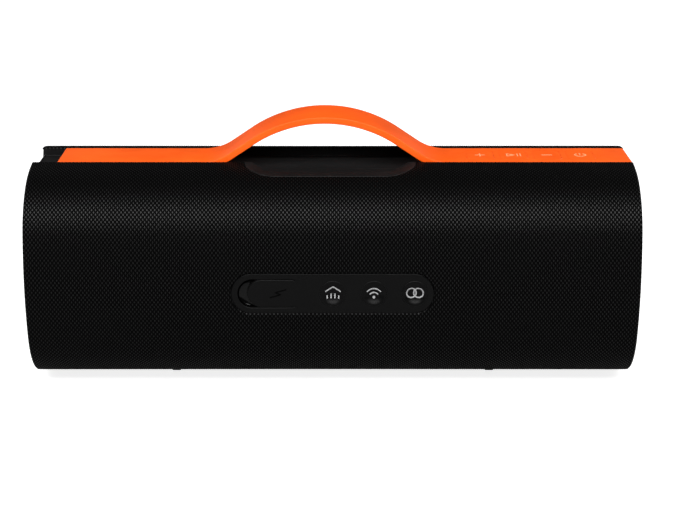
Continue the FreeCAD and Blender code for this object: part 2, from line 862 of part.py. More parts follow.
def make_key_board():
    top = key_board_top()
    keys = key_places()
    board = block(keys[0] - key_board_margin, keys[-1] + key_board_margin, -key_board_half_width,
                  key_board_half_width, top - board_thickness, top)
    holes = [rod((x, y, top - board_thickness - cut_over), (0, 0, 1), small_screw_bore,
                 board_thickness + 2 * cut_over) for x, y in key_board_posts()]
    save(board.cut(holes), "key_board")
    switches = []
    for x in keys:
        half = key_switch_side / 2
        body = block(x - half, x + half, -half, half, top, top + key_switch_height - plunger_rise)
        plunger = rod((x, 0, top), (0, 0, 1), plunger_radius, key_switch_height)
        switches.append(body.fuse(plunger).removeSplitter())
    save(Part.makeCompound(switches), "key_switches")
    screws = [screw((x, y, top - board_thickness), (0, 0, 1), board_thickness + key_screw_bite,
                    small_screw_radius, small_head_radius, small_head_height)
              for x, y in key_board_posts()]
    save(Part.makeCompound(screws), "key_board_screws")


# ---- rear panel with its cover and buttons ----
def cover_hinge():
    return pocket_right_x - cover_hinge_radius, panel_face_y + cover_hinge_radius


def cover_plate(grow):
    """Pill-shaped flap with a rounded edge round its upright hinge."""
    left = pocket_left_x + cover_notch - grow
    plate = pill(left, pocket_right_x + grow, panel_z, pocket_height + 2 * grow, panel_face_y - grow,
                 panel_face_y + cover_thickness + grow)
    hinge_x, hinge_y = cover_hinge()
    plate = plate.cut(block(hinge_x, pocket_right_x + 1, panel_face_y - 1, 0, 0, top_z))
    radius = pocket_height / 2
    reach = math.sqrt(radius ** 2 - (radius - cover_hinge_radius) ** 2) + grow
    nose = rod((hinge_x, hinge_y, panel_z - reach), (0, 0, 1), cover_hinge_radius + grow, 2 * reach)
    return plate.fuse(nose).removeSplitter()


def cover_sweep():
    """Room that the flap's hinged edge needs as it opens."""
    hinge_x, hinge_y = cover_hinge()
    near = 3 * cover_thickness
    edge = cover_plate(cover_gap).common(block(hinge_x - near, hinge_x + near, panel_face_y - 1,
                                               panel_face_y + near, 0, top_z))
    places = []
    steps = 15
    for i in range(steps + 1):
        turned_edge = edge.copy()
        turned_edge.rotate(Vector(hinge_x, hinge_y, 0), Vector(0, 0, 1), cover_opening * i / steps)
        places.append(turned_edge)
    return places


def make_panel():
    plate = panel_pill(0, panel_face_y, panel_back_y)
    plug = panel_pill(-panel_ledge, panel_face_y, plug_back_y)
    posts = [rod((x, plug_back_y - 1, panel_z), (0, 1, 0), post_radius, rear_board_y - plug_back_y + 1)
             for x in post_places()]
    solid = plate.fuse([plug] + posts).removeSplitter()
    pocket_back = panel_face_y + pocket_depth
    cuts = [pill(pocket_left_x, pocket_right_x + cover_gap, panel_z, pocket_height + 2 * cover_gap,
                 panel_face_y - 1, pocket_back)]
    hinge_x, hinge_y = cover_hinge()
    cuts += cover_sweep()
    cuts.append(rod((hinge_x, hinge_y, panel_z - cover_pin_length / 2), (0, 0, 1),
                    cover_pin_radius + pin_clearance / 2, cover_pin_length))
    grow = part_gap
    half = socket_width / 2 + grow
    cuts.append(pill(socket_x - half, socket_x + half, panel_z, socket_height + 2 * grow,
                     panel_face_y, plug_back_y + 1))
    shoulder = panel_face_y + button_cap + part_gap
    for x in button_places():
        cuts.append(rod((x, panel_face_y - 1, panel_z), (0, 1, 0), button_radius + button_gap, half_depth))
        cuts.append(rod((x, shoulder, panel_z), (0, 1, 0), button_radius + button_flange + button_gap,
                        half_depth))
    for x in post_places():
        cuts.append(rod((x, rear_board_y + cut_over, panel_z), (0, -1, 0), small_screw_bore,
                        post_pilot_depth + cut_over))
    solid = solid.cut(cuts)
    save(max(solid.Solids, key=lambda s: s.Volume), "rear_panel")
    ring = panel_pill(-seal_inset, panel_back_y, ledge_y)
    save(ring.cut(panel_pill(part_gap - panel_ledge, panel_back_y - 1, ledge_y + 1)), "rear_panel_seal")


def make_cover():
    hinge_x, hinge_y = cover_hinge()
    bore = rod((hinge_x, hinge_y, 0), (0, 0, 1), cover_pin_radius + pin_clearance, top_z)
    save(cover_plate(0).cut(bore), "port_cover")
    save(rod((hinge_x, hinge_y, panel_z - cover_pin_length / 2), (0, 0, 1), cover_pin_radius,
             cover_pin_length), "port_cover_pin")


def switch_face_y():
    """Front of the switch plungers, just past the buttons' stems at full travel."""
    return rear_board_y - switch_height - plunger_reach


def make_buttons():
    for name, x in zip(button_names, button_places()):
        cap = rod((x, panel_face_y, panel_z), (0, 1, 0), button_radius, button_cap)
        depth = dish_radius - math.sqrt(dish_radius ** 2 - (button_radius - dish_rim) ** 2)
        ball = Part.makeSphere(dish_radius, Vector(x, panel_face_y + depth - dish_radius, panel_z))
        flange_y = panel_face_y + button_cap
        flange = rod((x, flange_y + button_flange_gap, panel_z), (0, 1, 0), button_radius + button_flange,
                     button_flange_thickness)
        neck = rod((x, flange_y - button_neck, panel_z), (0, 1, 0), button_radius, 2 * button_neck)
        stem_end = switch_face_y() - button_travel - button_stem_gap
        stem = rod((x, flange_y, panel_z), (0, 1, 0), button_stem_radius, stem_end - flange_y)
        save(cap.cut(ball).fuse([neck, flange, stem]), name)


def make_rear_board():
    left = min(post_places()) - rear_board_left_margin
    right = button_places()[-1] + rear_board_right_margin
    back = rear_board_y + board_thickness
    board = block(left, right, rear_board_y, back, panel_z - rear_board_height / 2,
                  panel_z + rear_board_height / 2)
    holes = [rod((x, rear_board_y - cut_over, panel_z), (0, 1, 0), small_screw_bore,
                 board_thickness + 2 * cut_over) for x in post_places()]
    save(board.cut(holes), "rear_board")
    half = switch_side / 2
    switches = []
    for x in button_places():
        body = block(x - half, x + half, rear_board_y - switch_height, rear_board_y, panel_z - half,
                     panel_z + half)
        plunger = rod((x, switch_face_y(), panel_z), (0, 1, 0), plunger_radius, 2 * plunger_reach)
        switches.append(body.fuse(plunger).removeSplitter())
    save(Part.makeCompound(switches), "button_switches")
    screws = [screw((x, back, panel_z), (0, -1, 0), board_thickness + post_screw_bite,
                    small_screw_radius, small_head_radius, small_head_height) for x in post_places()]
    save(Part.makeCompound(screws), "rear_board_screws")


def make_socket():
    half = socket_width / 2
    front = panel_face_y + pocket_depth + socket_setback
    body = pill(socket_x - half, socket_x + half, panel_z, socket_height, front, rear_board_y)
    inner = half - socket_wall
    body = body.cut(pill(socket_x - inner, socket_x + inner, panel_z, socket_height - 2 * socket_wall,
                         front - 1, front + socket_depth))
    tongue = block(socket_x - tongue_half_width, socket_x + tongue_half_width, front + tongue_inset,
                   rear_board_y - socket_setback, panel_z - tongue_half_thickness,
                   panel_z + tongue_half_thickness)
    save(body.fuse(tongue), "charging_socket")


# ---- drivers ----
def half_roll(inner, outer, rise, base, thickness):
    """Closed profile of a rolled edge between two radii, as (radius, along) points."""
    middle = (inner + outer) / 2
    half = (outer - inner) / 2
    steps = 8
    over = []
    under = []
    for i in range(steps + 1):
        angle = math.pi * i / steps
        over.append((middle - half * math.cos(angle), base + thickness + rise * math.sin(angle)))
        under.append((middle - half * math.cos(angle), base + rise * math.sin(angle)))
    return over + under[::-1]


def make_driver(name, x):
    centre = (x, 0.0, driver_z)
    face = driver_face_y
    flange_back = face - driver_flange_thickness
    roll_out = cone_radius + surround_width
    neck_y = face - driver_depth
    wall = driver_frame_wall
    neck_top = neck_y + driver_neck_thickness
    frame = turned([(roll_out, face), (driver_flange_radius, face), (driver_flange_radius, flange_back),
                    (roll_out + wall, flange_back), (magnet_radius, neck_top), (magnet_radius, neck_y),
                    (coil_gap_radius, neck_y), (coil_gap_radius, neck_top),
                    (magnet_radius - wall, neck_top + wall), (roll_out, flange_back - 1.0)], centre, "y")
    windows = []
    for turn in range(4):
        window = block(x - driver_window_half_width, x + driver_window_half_width,
                       neck_y + driver_window_base, flange_back - driver_window_setback,
                       driver_z + driver_window_inner, driver_z + driver_window_outer)
        window.rotate(Vector(*centre), Vector(0, 1, 0), 90 * turn)
        windows.append(window)
    holes = [rod((hole_x, flange_back - 2 * cut_over, hole_z), (0, 1, 0), screw_bore,
                 driver_flange_thickness + 3 * cut_over) for hole_x, hole_z in driver_screw_places(x)]
    save(frame.cut(windows + holes), name + "_driver_frame")
    rim = face - cone_setback
    thick = sheet_thickness
    throat = rim - cone_depth
    coil_out = coil_radius + coil_wall / 2
    coil_in = coil_radius - coil_wall / 2
    cone = turned([(0, throat + dome_rise), (dome_shoulder_radius, throat + dome_shoulder_rise),
                   (coil_radius, throat), (cone_radius, rim), (cone_radius, rim - thick),
                   (coil_out, throat - thick), (coil_out, neck_y + coil_lift), (coil_in, neck_y + coil_lift),
                   (coil_in, throat - thick), (dome_shoulder_radius, throat + dome_shoulder_rise - thick),
                   (0, throat + dome_rise - thick)], centre, "y")
    save(cone, name + "_driver_cone")
    roll = half_roll(cone_radius + edge_gap, roll_out - edge_gap, surround_rise, rim - thick, thick)
    save(turned(roll, centre, "y"), name + "_driver_surround")
    magnet = rod((x, neck_y - magnet_thickness, driver_z), (0, 1, 0), magnet_radius, magnet_thickness)
    gap_ring = rod((x, neck_y - coil_gap_depth, driver_z), (0, 1, 0), coil_gap_radius,
                   coil_gap_depth + cut_over)
    pole = rod((x, neck_y - pole_depth, driver_z), (0, 1, 0), pole_radius, pole_length)
    save(magnet.cut(gap_ring).fuse(pole).removeSplitter(), name + "_driver_magnet")


def make_driver_screws():
    screws = []
    for x_middle in (-driver_x, driver_x):
        for x, z in driver_screw_places(x_middle):
            screws.append(screw((x, driver_face_y - driver_flange_thickness, z), (0, 1, 0),
                                driver_flange_thickness + driver_screw_bite, screw_radius, driver_screw_head,
                                screw_head_height))
    save(Part.makeCompound(screws), "driver_screws")


# ---- end caps with passive radiators ----
def make_end(name, side):
    centre = (side * cap_back_x, 0.0, radiator_z)
    bore = radiator_radius + radiator_surround
    low = min(side * cap_back_x, side * cap_face_x)
    plate = barrel(housing_out, low, low + cap_thickness)
    spigot_start = side * (cap_back_x - cap_spigot)
    low = min(spigot_start, side * cap_back_x)
    spigot = barrel(housing_in + part_gap, low, low + cap_spigot)
    inside = barrel(housing_in + part_gap + cap_spigot_wall, low - cut_over, low + cap_spigot + cut_over)
    spigot = spigot.cut(inside)
    reach = tray_half + part_gap
    notch = block(-half_length, half_length, -reach, reach, floor_under_z - part_gap, top_z)
    wide = reach + flange_reach
    notch_inside = block(-cap_back_x, cap_back_x, -wide, wide,
                         floor_under_z - channel_flange_drop - part_gap, top_z)
    seam_reach = seam_gasket / 2 + seam_flange_thickness + part_gap
    seam_notch = block(-cap_back_x, cap_back_x, -seam_reach, seam_reach, 0,
                       foot_height + housing_in + seam_flange_height + part_gap)
    hole = rod((side * half_length, 0, radiator_z), (-side, 0, 0), bore, half_length)
    seat = rod((side * (cap_back_x + seat_depth), 0, radiator_z), (-side, 0, 0), bore + seat_width,
               seat_depth)
    cap = plate.fuse(spigot).cut([notch, notch_inside, seam_notch, hole, seat])
    save(max(cap.Solids, key=lambda s: s.Volume), name + "_end_cap")
    roll_out = bore - cap_bore_gap
    rim_out = bore + seat_width - seat_gap
    rim_top = seat_gap + radiator_rim_thickness
    roll = half_roll(radiator_radius + edge_gap, roll_out, radiator_rise, seat_gap, sheet_thickness)
    rim = [(roll_out, seat_gap), (rim_out, seat_gap), (rim_out, rim_top), (roll_out, rim_top)]
    surround = turned(roll, centre, "x", side).fuse(turned(rim, centre, "x", side))
    save(surround, name + "_radiator_surround")
    plate_top = seat_gap + radiator_plate_thickness
    bevel_top = plate_top + radiator_bevel_rise
    cone = turned([(0, seat_gap), (radiator_radius, seat_gap), (radiator_radius, plate_top),
                   (radiator_radius - radiator_bevel, bevel_top), (radiator_dish_radius, bevel_top),
                   (radiator_dish_radius - radiator_dish_inset, plate_top), (0, plate_top)], centre, "x", side)
    weight = rod((side * (cap_back_x + weight_lift), 0, radiator_z), (-side, 0, 0), radiator_dish_radius,
                 weight_thickness)
    save(cone.fuse(weight).removeSplitter(), name + "_radiator_cone")


# ---- battery and main board ----
def make_battery():
    cells = []
    for row_y, row_z in cell_places:
        for x in (-cell_length - cell_spacing / 2, cell_spacing / 2):
            cells.append(rod((x, row_y, row_z), (1, 0, 0), cell_radius, cell_length))
    save(Part.makeCompound(cells), "battery_cells")
    half = cell_length + cell_spacing / 2 + holder_margin
    low_y = cell_places[1][0] - cell_radius
    high_y = -(seam_gasket / 2 + seam_flange_thickness + holder_seam_gap)
    holder = block(-half, half, low_y, high_y, foot_height + housing_in,
                   cell_places[0][1] - holder_drop)
    holder = holder.common(barrel(housing_in + holder_wall_gap, -half_length, half_length))
    cuts = [rod((-half - cut_over, y, z), (1, 0, 0), cell_radius + holder_bore_gap, 2 * (half + cut_over))
            for y, z in cell_places]
    for x in seam_screw_places():
        if abs(x) < half:
            cuts.append(rod((x, 0, seam_screw_z), (0, -1, 0), screw_head_radius + holder_screw_gap,
                            half_depth))
    holder = holder.cut(cuts)
    solids = [s for s in holder.Solids if s.Volume > holder_least_volume]
    save(Part.makeCompound(solids), "battery_holder")


def make_main_board():
    half = main_board_length / 2
    top = main_board_bottom + main_board_height
    board = block(-half, half, main_board_y, main_board_y + board_thickness, main_board_bottom, top)
    holes = [rod((x, main_board_y - cut_over, z), (0, 1, 0), small_screw_bore,
                 board_thickness + 2 * cut_over) for x, z in boss_places()]
    board = board.cut(holes)
    face = main_board_y + board_thickness
    chips = [block(x0, x1, face, face + height, z0, z1)
             for (x0, x1, z0, z1), height in zip(chip_outlines, chip_heights)]
    save(board.fuse(chips).removeSplitter(), "main_board")
    base = block(heat_sink_left, heat_sink_left + fin_pitch * (fin_count - 1) + fin_thickness, face,
                 face + heat_sink_base, heat_sink_low, heat_sink_high)
    fins = [block(heat_sink_left + fin_pitch * i, heat_sink_left + fin_pitch * i + fin_thickness,
                  face + heat_sink_base / 2, face + fin_height, heat_sink_low, heat_sink_high)
            for i in range(fin_count)]
    save(base.fuse(fins).removeSplitter(), "heat_sink")
    screws = [screw((x, face, z), (0, -1, 0), board_thickness + boss_screw_bite, small_screw_radius,
                    small_head_radius, small_head_height) for x, z in boss_places()]
    save(Part.makeCompound(screws), "main_board_screws")


os.makedirs("parts", exist_ok=True)
make_fabric()
make_front_housing()
make_rear_housing()
make_seam_gasket()
make_housing_screws()
make_feet()
make_channel()
make_channel_screws()
make_links()
make_fixed_end()
make_sliding_end()
make_slider()
make_anchors()
make_keys()
make_key_board()
make_panel()
make_cover()
make_buttons()
make_rear_board()
make_socket()
for driver_name, driver_place in (("left", -driver_x), ("right", driver_x)):
    make_driver(driver_name, driver_place)
make_driver_screws()
make_end("left", -1)
make_end("right", 1)
make_battery()
make_main_board()
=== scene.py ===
import json
import math

import bmesh
import bpy
import numpy as np
from bpy.props import FloatProperty, FloatVectorProperty, IntProperty, PointerProperty
from mathutils import Matrix, Vector
from mathutils.geometry import tessellate_polygon


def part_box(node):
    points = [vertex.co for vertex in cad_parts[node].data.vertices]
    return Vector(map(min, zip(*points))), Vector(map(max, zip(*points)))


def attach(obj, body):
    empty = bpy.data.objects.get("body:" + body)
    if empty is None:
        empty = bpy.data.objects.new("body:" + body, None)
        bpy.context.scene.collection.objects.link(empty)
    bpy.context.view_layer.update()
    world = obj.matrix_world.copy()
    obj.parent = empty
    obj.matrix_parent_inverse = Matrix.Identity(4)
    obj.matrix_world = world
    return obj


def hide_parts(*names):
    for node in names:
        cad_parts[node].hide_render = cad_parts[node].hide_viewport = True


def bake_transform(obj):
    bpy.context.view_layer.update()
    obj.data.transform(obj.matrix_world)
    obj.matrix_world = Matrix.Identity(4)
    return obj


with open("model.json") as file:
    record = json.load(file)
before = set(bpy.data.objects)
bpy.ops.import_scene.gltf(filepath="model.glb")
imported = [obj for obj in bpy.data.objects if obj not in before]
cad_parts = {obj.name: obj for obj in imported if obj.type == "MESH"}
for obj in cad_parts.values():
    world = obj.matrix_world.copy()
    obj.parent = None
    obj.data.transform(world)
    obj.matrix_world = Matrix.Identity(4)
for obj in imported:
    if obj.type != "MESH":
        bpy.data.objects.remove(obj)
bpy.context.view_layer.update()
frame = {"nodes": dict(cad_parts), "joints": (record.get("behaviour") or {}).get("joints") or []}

bl_info = {
    "name": "Portable Speaker Maker",
    "version": (1, 0, 0),
    "blender": (4, 5, 0),
    "location": "3D View > Sidebar > Speaker",
    "description": "Makes the cloth, strap, keys, rear panel, ends and stage of a portable speaker",
    "category": "Object",
}

MM = 0.001
SPEAKER = "speaker"
SLIDE = "strap_slide"
KEYS = ("volume_up_key", "play_key", "volume_down_key", "power_key")
BUTTONS = ("bass_button", "wireless_button", "pairing_button")
JOINTS = {joint["name"]: joint for joint in frame["joints"]}
HINGES = [Vector(JOINTS[f"strap_bend_{i}"]["pos_m"]) for i in range(1, 9)]
WARP_ROUNDNESS, WEFT_ROUNDNESS = 0.9, 0.6
WEFT_SHARE = 0.55                 # height of the threads along the barrel, as a share of those round it
CRIMP, THREAD_PEAK = 0.5, 1.5     # rise and fall of a thread, and its highest point before scaling
DUST_COLOUR = (0.25, 0.24, 0.22, 1)
SMOOTH_ANGLE, BEVEL_ANGLE = 35.0, 40.0
MERGE = 0.002 * MM                # points of a CAD mesh closer than this are one
HOLE_GAP = 0.1 * MM               # between the cloth's openings and what fills them
FAR = 1.0                         # distance given where an opening can't be
TOP_SIDE, UNDERSIDE = 0.08, 0.03  # heights above and below which the top's and the feet's openings lie
SCOOP_LEFT = (-28.0 * MM, -16.28 * MM, 14.42 * MM)   # x, y and radius of the scoop's ends
SCOOP_RIGHT = (25.0 * MM, -15.37 * MM, 15.33 * MM)
SCOOP_REAR = -30.7 * MM
LIGHT_AIM = Vector((0, 0, 0.06))
FLOOR_REACH = 6.0
BACKDROP = 1.2


def low_of(node):
    return Vector(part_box(node)[0])


def high_of(node):
    return Vector(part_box(node)[1])


def middle_of(node):
    return (low_of(node) + high_of(node)) / 2


SKIN_LOW = low_of("fabric_grille")
SKIN_HIGH = high_of("fabric_grille")
STRAP_LOW = low_of("strap_fixed_end")
STRAP_HIGH = high_of("strap_fixed_end")


# ---- settings ----
def mm(name, description, value):
    """A length setting whose default is given in millimetres."""
    return FloatProperty(name=name, description=description, default=value * MM, subtype="DISTANCE",
                         unit="LENGTH", precision=5)


def tint(name, description, value):
    return FloatVectorProperty(name=name, description=description, default=value, subtype="COLOR", size=4,
                               min=0, max=1)


class ClothSettings(bpy.types.PropertyGroup):
    warp_pitch: mm("Warp Pitch", "Distance between threads that run round the barrel", 0.925)
    weft_pitch: mm("Weft Pitch", "Distance between threads that run along the barrel", 1.2)
    relief: mm("Relief", "Height of the threads above the gaps between them", 0.42)
    thickness: mm("Thickness", "Thickness of the cloth and its foam backing", 1.2)
    fold: mm("Fold", "Radius of the folded edges", 1.2)
    hole_fold: mm("Hole Fold", "Radius of the folds round the panel, scoop and feet", 0.8)
    side_radius: mm("Side Radius", "Radius of the barrel's four flatter faces", 112.7)
    corner_radius: mm("Corner Radius", "Radius of the barrel's four long corners", 34.0)
    top: mm("Crown Height", "Height of the barrel's top, were it not cut by the strap's slot", 108.5)
    slot_gap: mm("Slot Gap", "Gap between the strap and the cloth on each side", 0.4)
    across: IntProperty(name="Steps Along", description="Faces across one thread, along the barrel",
                        default=2, min=2, max=4)
    around: IntProperty(name="Steps Around", description="Faces across one thread, round the barrel",
                        default=2, min=2, max=4)
    parts: IntProperty(name="Lengths", description="How many lengths the cloth is made in", default=8, min=1)
    colour: tint("Thread Colour", "Colour of the yarn", (0.0012, 0.0012, 0.00125, 1))


class StrapSettings(bpy.types.PropertyGroup):
    edge_radius: mm("Edge Radius", "Rounding of the strap's long edges", 0.45)
    foot_run: mm("Foot Run", "Length of each bend at the foot, before and after its hinge", 3.8)
    crown_run: mm("Crown Run", "Length of each bend at the crown, before and after its hinge", 9.2)
    foot_lap: mm("Foot Lap", "Straight length past the first and last hinge", 5.5)
    colour: tint("Strap Colour", "Colour of the silicone", (0.96, 0.105, 0.003, 1))
    colour_worn: tint("Handled Colour", "Paler colour where hands rub it", (0.96, 0.125, 0.010, 1))


class DetailSettings(bpy.types.PropertyGroup):
    edge_round: mm("Edge Rounding", "Rounding of the moulded parts' edges", 0.42)
    mark_width: mm("Mark Width", "Stroke width of the signs", 0.62)
    mark_height: mm("Mark Height", "Height of the signs above their surface", 0.14)
    dish_reach: mm("Dish Reach", "Radius of the hollow in each button", 6.0)
    dish_depth: mm("Dish Depth", "Depth of the hollow in each button", 1.5)
    button_flange: mm("Button Flange", "Width of the hidden flange round each button", 0.6)
    button_depth: mm("Button Depth", "Depth of each button's cap", 2.8)
    button_flange_depth: mm("Flange Depth", "Depth from each cap to its flange's back", 1.0)
    pocket_left: mm("Pocket Left", "Left end of the pocket round the port cover", -44.6)
    pocket_depth: mm("Pocket Depth", "Depth of the pocket round the port cover", 2.1)
    strap_lift: mm("Strap Lift", "Gap between the strap and the channel's floor", 0.1)
    floor_room: mm("Floor Room", "Depth left for the strap's bends when it lies flat", 0.65)
    web_reach: mm("Web Reach", "How far the skin lies over the port cover", 4.6)
    # web_width: mm("Web Width", "Width of the skin between the panel and the port cover's right end", 3.6)
    web_width: mm("Web Width", "Width of the skin that the port cover bends on", 3.6)
    key_flange: mm("Key Flange", "Hidden flange round each key", 0.8)
    key_corner: mm("Key Corner", "Corner radius of each key's hole", 3.46)
    tread_count: IntProperty(name="Treads", description="Bars under each foot", default=9, min=2)
    rib_count: IntProperty(name="Ribs", description="Stiffening ribs on each radiator", default=12, min=3)
    mark_colour: tint("Mark Colour", "Colour of the signs on the buttons", (0.33, 0.33, 0.335, 1))
    key_mark_colour: tint("Key Mark Colour", "Colour of the signs on the keys", (0.95, 0.36, 0.16, 1))


class StageSettings(bpy.types.PropertyGroup):
    lens: FloatProperty(name="Lens", description="Focal length of the camera", default=91.7, min=10)
    elevation: FloatProperty(name="Elevation", description="Height angle of the camera",
                             default=math.radians(16.6), subtype="ANGLE", unit="ROTATION")
    distance: FloatProperty(name="Distance", description="Distance of the camera from what it looks at",
                            default=0.857, subtype="DISTANCE", unit="LENGTH")
    aim: FloatVectorProperty(name="Aim", description="Point the camera looks at", size=3,
                             subtype="XYZ", unit="LENGTH", default=(0.0021, 0.0, 0.0565))
    top_light: FloatProperty(name="Top Light", description="Power of the softbox above the rear side",
                             default=36.0, min=0, unit="POWER")
    side_light: FloatProperty(name="Side Light", description="Power of each softbox beside the front",
                              default=8.0, min=0, unit="POWER")
    ambient: FloatProperty(name="Ambient", description="Strength of the room's light", default=0.05, min=0)
    floor_glow: FloatProperty(name="Floor Glow", description="Backlight of the floor as the camera sees it",
                              default=0.85, min=0)
    floor_colour: tint("Floor Colour", "Colour of the floor", (0.5, 0.5, 0.5, 1))


# ---- node helpers ----
def put(tree, kind, links=None, **settings):
    """A node with its settings, and its inputs linked or set."""
    node = tree.nodes.new(kind)
    for key, value in settings.items():
        setattr(node, key, value)
    for socket, value in (links or {}).items():
        target = node.inputs[socket]
        if isinstance(value, bpy.types.NodeSocket):
            tree.links.new(value, target)
        else:
            target.default_value = value
    return node


def maths(tree, operation, first, second=0.0):
    """Result of one step of arithmetic."""
    return put(tree, "ShaderNodeMath", {0: first, 1: second}, operation=operation).outputs[0]


def product(tree, *factors):
    """Result of multiplying several values."""
    total = factors[0]
    for factor in factors[1:]:
        total = maths(tree, "MULTIPLY", total, factor)
    return total


def ramp(tree, value, low, high, to_low=0.0, to_high=1.0):
    """A value carried from one range to another."""
    return put(tree, "ShaderNodeMapRange", {0: value, 1: low, 2: high, 3: to_low, 4: to_high}).outputs[0]


def noise(tree, place, scale, detail, rough=0.5):
    """Value of a noise texture."""
    return put(tree, "ShaderNodeTexNoise", {"Vector": place, "Scale": scale, "Detail": detail,
                                            "Roughness": rough}).outputs[0]


def new_group(name, inputs, outputs, kind="ShaderNodeTree"):
    """An empty node group with its inner sockets. Each input is a number or the kind of its socket; the
    outputs are numbers in a shader group and geometry in a geometry tree."""
    tree = bpy.data.node_groups.new(name, kind)
    for label, value in inputs.items():
        socket = value if isinstance(value, str) else "Float"
        item = tree.interface.new_socket(label, in_out="INPUT", socket_type="NodeSocket" + socket)
        if socket != value:
            item.default_value = value
    for label in outputs:
        socket = "Float" if kind == "ShaderNodeTree" else "Geometry"
        tree.interface.new_socket(label, in_out="OUTPUT", socket_type="NodeSocket" + socket)
    return tree, tree.nodes.new("NodeGroupInput").outputs, tree.nodes.new("NodeGroupOutput").inputs


def use_group(tree, name, links):
    """Outputs of a shader group put into a tree."""
    return put(tree, "ShaderNodeGroup", links, node_tree=bpy.data.node_groups[name]).outputs


# ---- shader groups ----
def make_grain_group():
    """Moulded grain: fine pebbles and slower unevenness."""
    tree, given, out = new_group(
        "moulded_grain", {"Place": "Vector", "Grain Scale": 2500.0, "Cloud Scale": 30.0}, ("Height", "Cloud"))
    fine = noise(tree, given["Place"], given["Grain Scale"], 2.0, 0.55)
    pebble = put(tree, "ShaderNodeTexVoronoi", {"Vector": given["Place"], "Scale": given["Grain Scale"]})
    slow = noise(tree, given["Place"], given["Cloud Scale"], 5.0, 0.6)
    tree.links.new(maths(tree, "ADD", fine, product(tree, pebble.outputs[0], 0.5)), out["Height"])
    tree.links.new(ramp(tree, slow, 0.35, 0.65), out["Cloud"])


def make_wear_group():
    """Where edges are rubbed: convex edges, broken up by noise."""
    tree, given, out = new_group(
        "edge_wear", {"Place": "Vector", "Break Scale": 180.0, "Amount": 0.6}, ("Mask",))
    edge = ramp(tree, tree.nodes.new("ShaderNodeNewGeometry").outputs["Pointiness"], 0.52, 0.60)
    patch = ramp(tree, noise(tree, given["Place"], given["Break Scale"], 4.0), 0.35, 0.62)
    tree.links.new(product(tree, edge, patch, given["Amount"]), out["Mask"])


def make_dust_group():
    """Dust that settles on faces that look up."""
    tree, given, out = new_group(
        "settled_dust", {"Place": "Vector", "Speck Scale": 900.0, "Amount": 0.1}, ("Mask",))
    normal = tree.nodes.new("ShaderNodeNewGeometry").outputs["Normal"]
    facing = put(tree, "ShaderNodeSeparateXYZ", {0: normal}).outputs["Z"]
    speck = noise(tree, given["Place"], given["Speck Scale"], 3.0)
    mask = product(tree, ramp(tree, facing, 0.2, 1.0), ramp(tree, speck, 0.55, 0.75), given["Amount"])
    tree.links.new(mask, out["Mask"])


def make_weave_group():
    """Plain weave in thread counts: threads round the barrel cross threads along it."""
    tree, given, out = new_group(
        "plain_weave", {"Threads": "Vector", "Fibres": 5.0}, ("Height", "Open", "Yarn"))
    part = put(tree, "ShaderNodeSeparateXYZ", {0: given["Threads"]}).outputs
    u, v = [product(tree, part[axis], math.pi) for axis in ("X", "Y")]
    cu, cv = [maths(tree, "COSINE", count) for count in (u, v)]
    threads = []
    for own, other, roundness, crimp in ((cu, cv, WARP_ROUNDNESS, CRIMP), (cv, cu, WEFT_ROUNDNESS, -CRIMP)):
        wave = product(tree, maths(tree, "SIGN", own), other, crimp)
        bulge = maths(tree, "POWER", maths(tree, "ABSOLUTE", own), roundness)
        threads.append(maths(tree, "ADD", bulge, wave))
    warp, weft = threads[0], product(tree, threads[1], WEFT_SHARE)
    height = maths(tree, "DIVIDE", maths(tree, "MAXIMUM", warp, weft), THREAD_PEAK)
    fibres = product(tree, given["Fibres"], 2.0)
    across_warp, across_weft = [maths(tree, "SINE", product(tree, count, fibres)) for count in (u, v)]
    over = maths(tree, "GREATER_THAN", warp, weft)
    fibre = put(tree, "ShaderNodeMix", {0: over, 2: across_weft, 3: across_warp}, data_type="FLOAT")
    tree.links.new(maths(tree, "ADD", height, product(tree, fibre.outputs[0], 0.06)), out["Height"])
    # mask of the gaps between threads; the cloth's material paints them darker as shade
    tree.links.new(ramp(tree, height, 0.5, 0.86, 1.0, 0.0), out["Open"])
    tree.links.new(ramp(tree, noise(tree, given["Threads"], 0.9, 3.0), 0.3, 0.7), out["Yarn"])


# ---- materials ----
def start_material(name):
    """A material with an empty tree that ends in a Principled shader."""
    material = bpy.data.materials.new(name)
    material.use_nodes = True
    tree = material.node_tree
    tree.nodes.clear()
    shader = tree.nodes.new("ShaderNodeBsdfPrincipled")
    tree.links.new(shader.outputs[0], tree.nodes.new("ShaderNodeOutputMaterial").inputs[0])
    return material, tree, shader.inputs


def mixed_colour(tree, mask, first, second):
    return put(tree, "ShaderNodeMix", {0: mask, 6: first, 7: second}, data_type="RGBA").outputs[2]


def shaded(colour, share):
    """A colour made darker."""
    return [channel * share for channel in colour[:3]] + [1.0]


def bumped(tree, height, strength, distance):
    """Normal of a bump from a height."""
    links = {"Height": height, "Strength": strength, "Distance": distance}
    return put(tree, "ShaderNodeBump", links).outputs[0]


def moulded(name, colour, worn, rough=(0.45, 0.6), grain=2500.0, bump=0.15, wear=0.5, dust=0.04, **constants):
    """Moulded or metal finish with grain, a little cloudiness, rubbed edges and dust."""
    material, tree, shader = start_material(name)
    place = tree.nodes.new("ShaderNodeTexCoord").outputs["Object"]
    grained = use_group(tree, "moulded_grain", {"Place": place, "Grain Scale": grain})
    rubbed = use_group(tree, "edge_wear", {"Place": place, "Amount": wear})
    dusty = use_group(tree, "settled_dust", {"Place": place, "Amount": dust})
    base = mixed_colour(tree, grained["Cloud"], shaded(colour, 0.82), colour)
    base = mixed_colour(tree, rubbed["Mask"], base, worn)
    base = mixed_colour(tree, dusty["Mask"], base, DUST_COLOUR)
    tree.links.new(base, shader["Base Color"])
    tree.links.new(ramp(tree, grained["Cloud"], 0.0, 1.0, *rough), shader["Roughness"])
    tree.links.new(bumped(tree, grained["Height"], bump, 0.1 * MM), shader["Normal"])
    for socket, value in constants.items():
        shader[socket.replace("_", " ")].default_value = value
    return material


def grey(value):
    return (value, value, value * 1.03, 1.0)


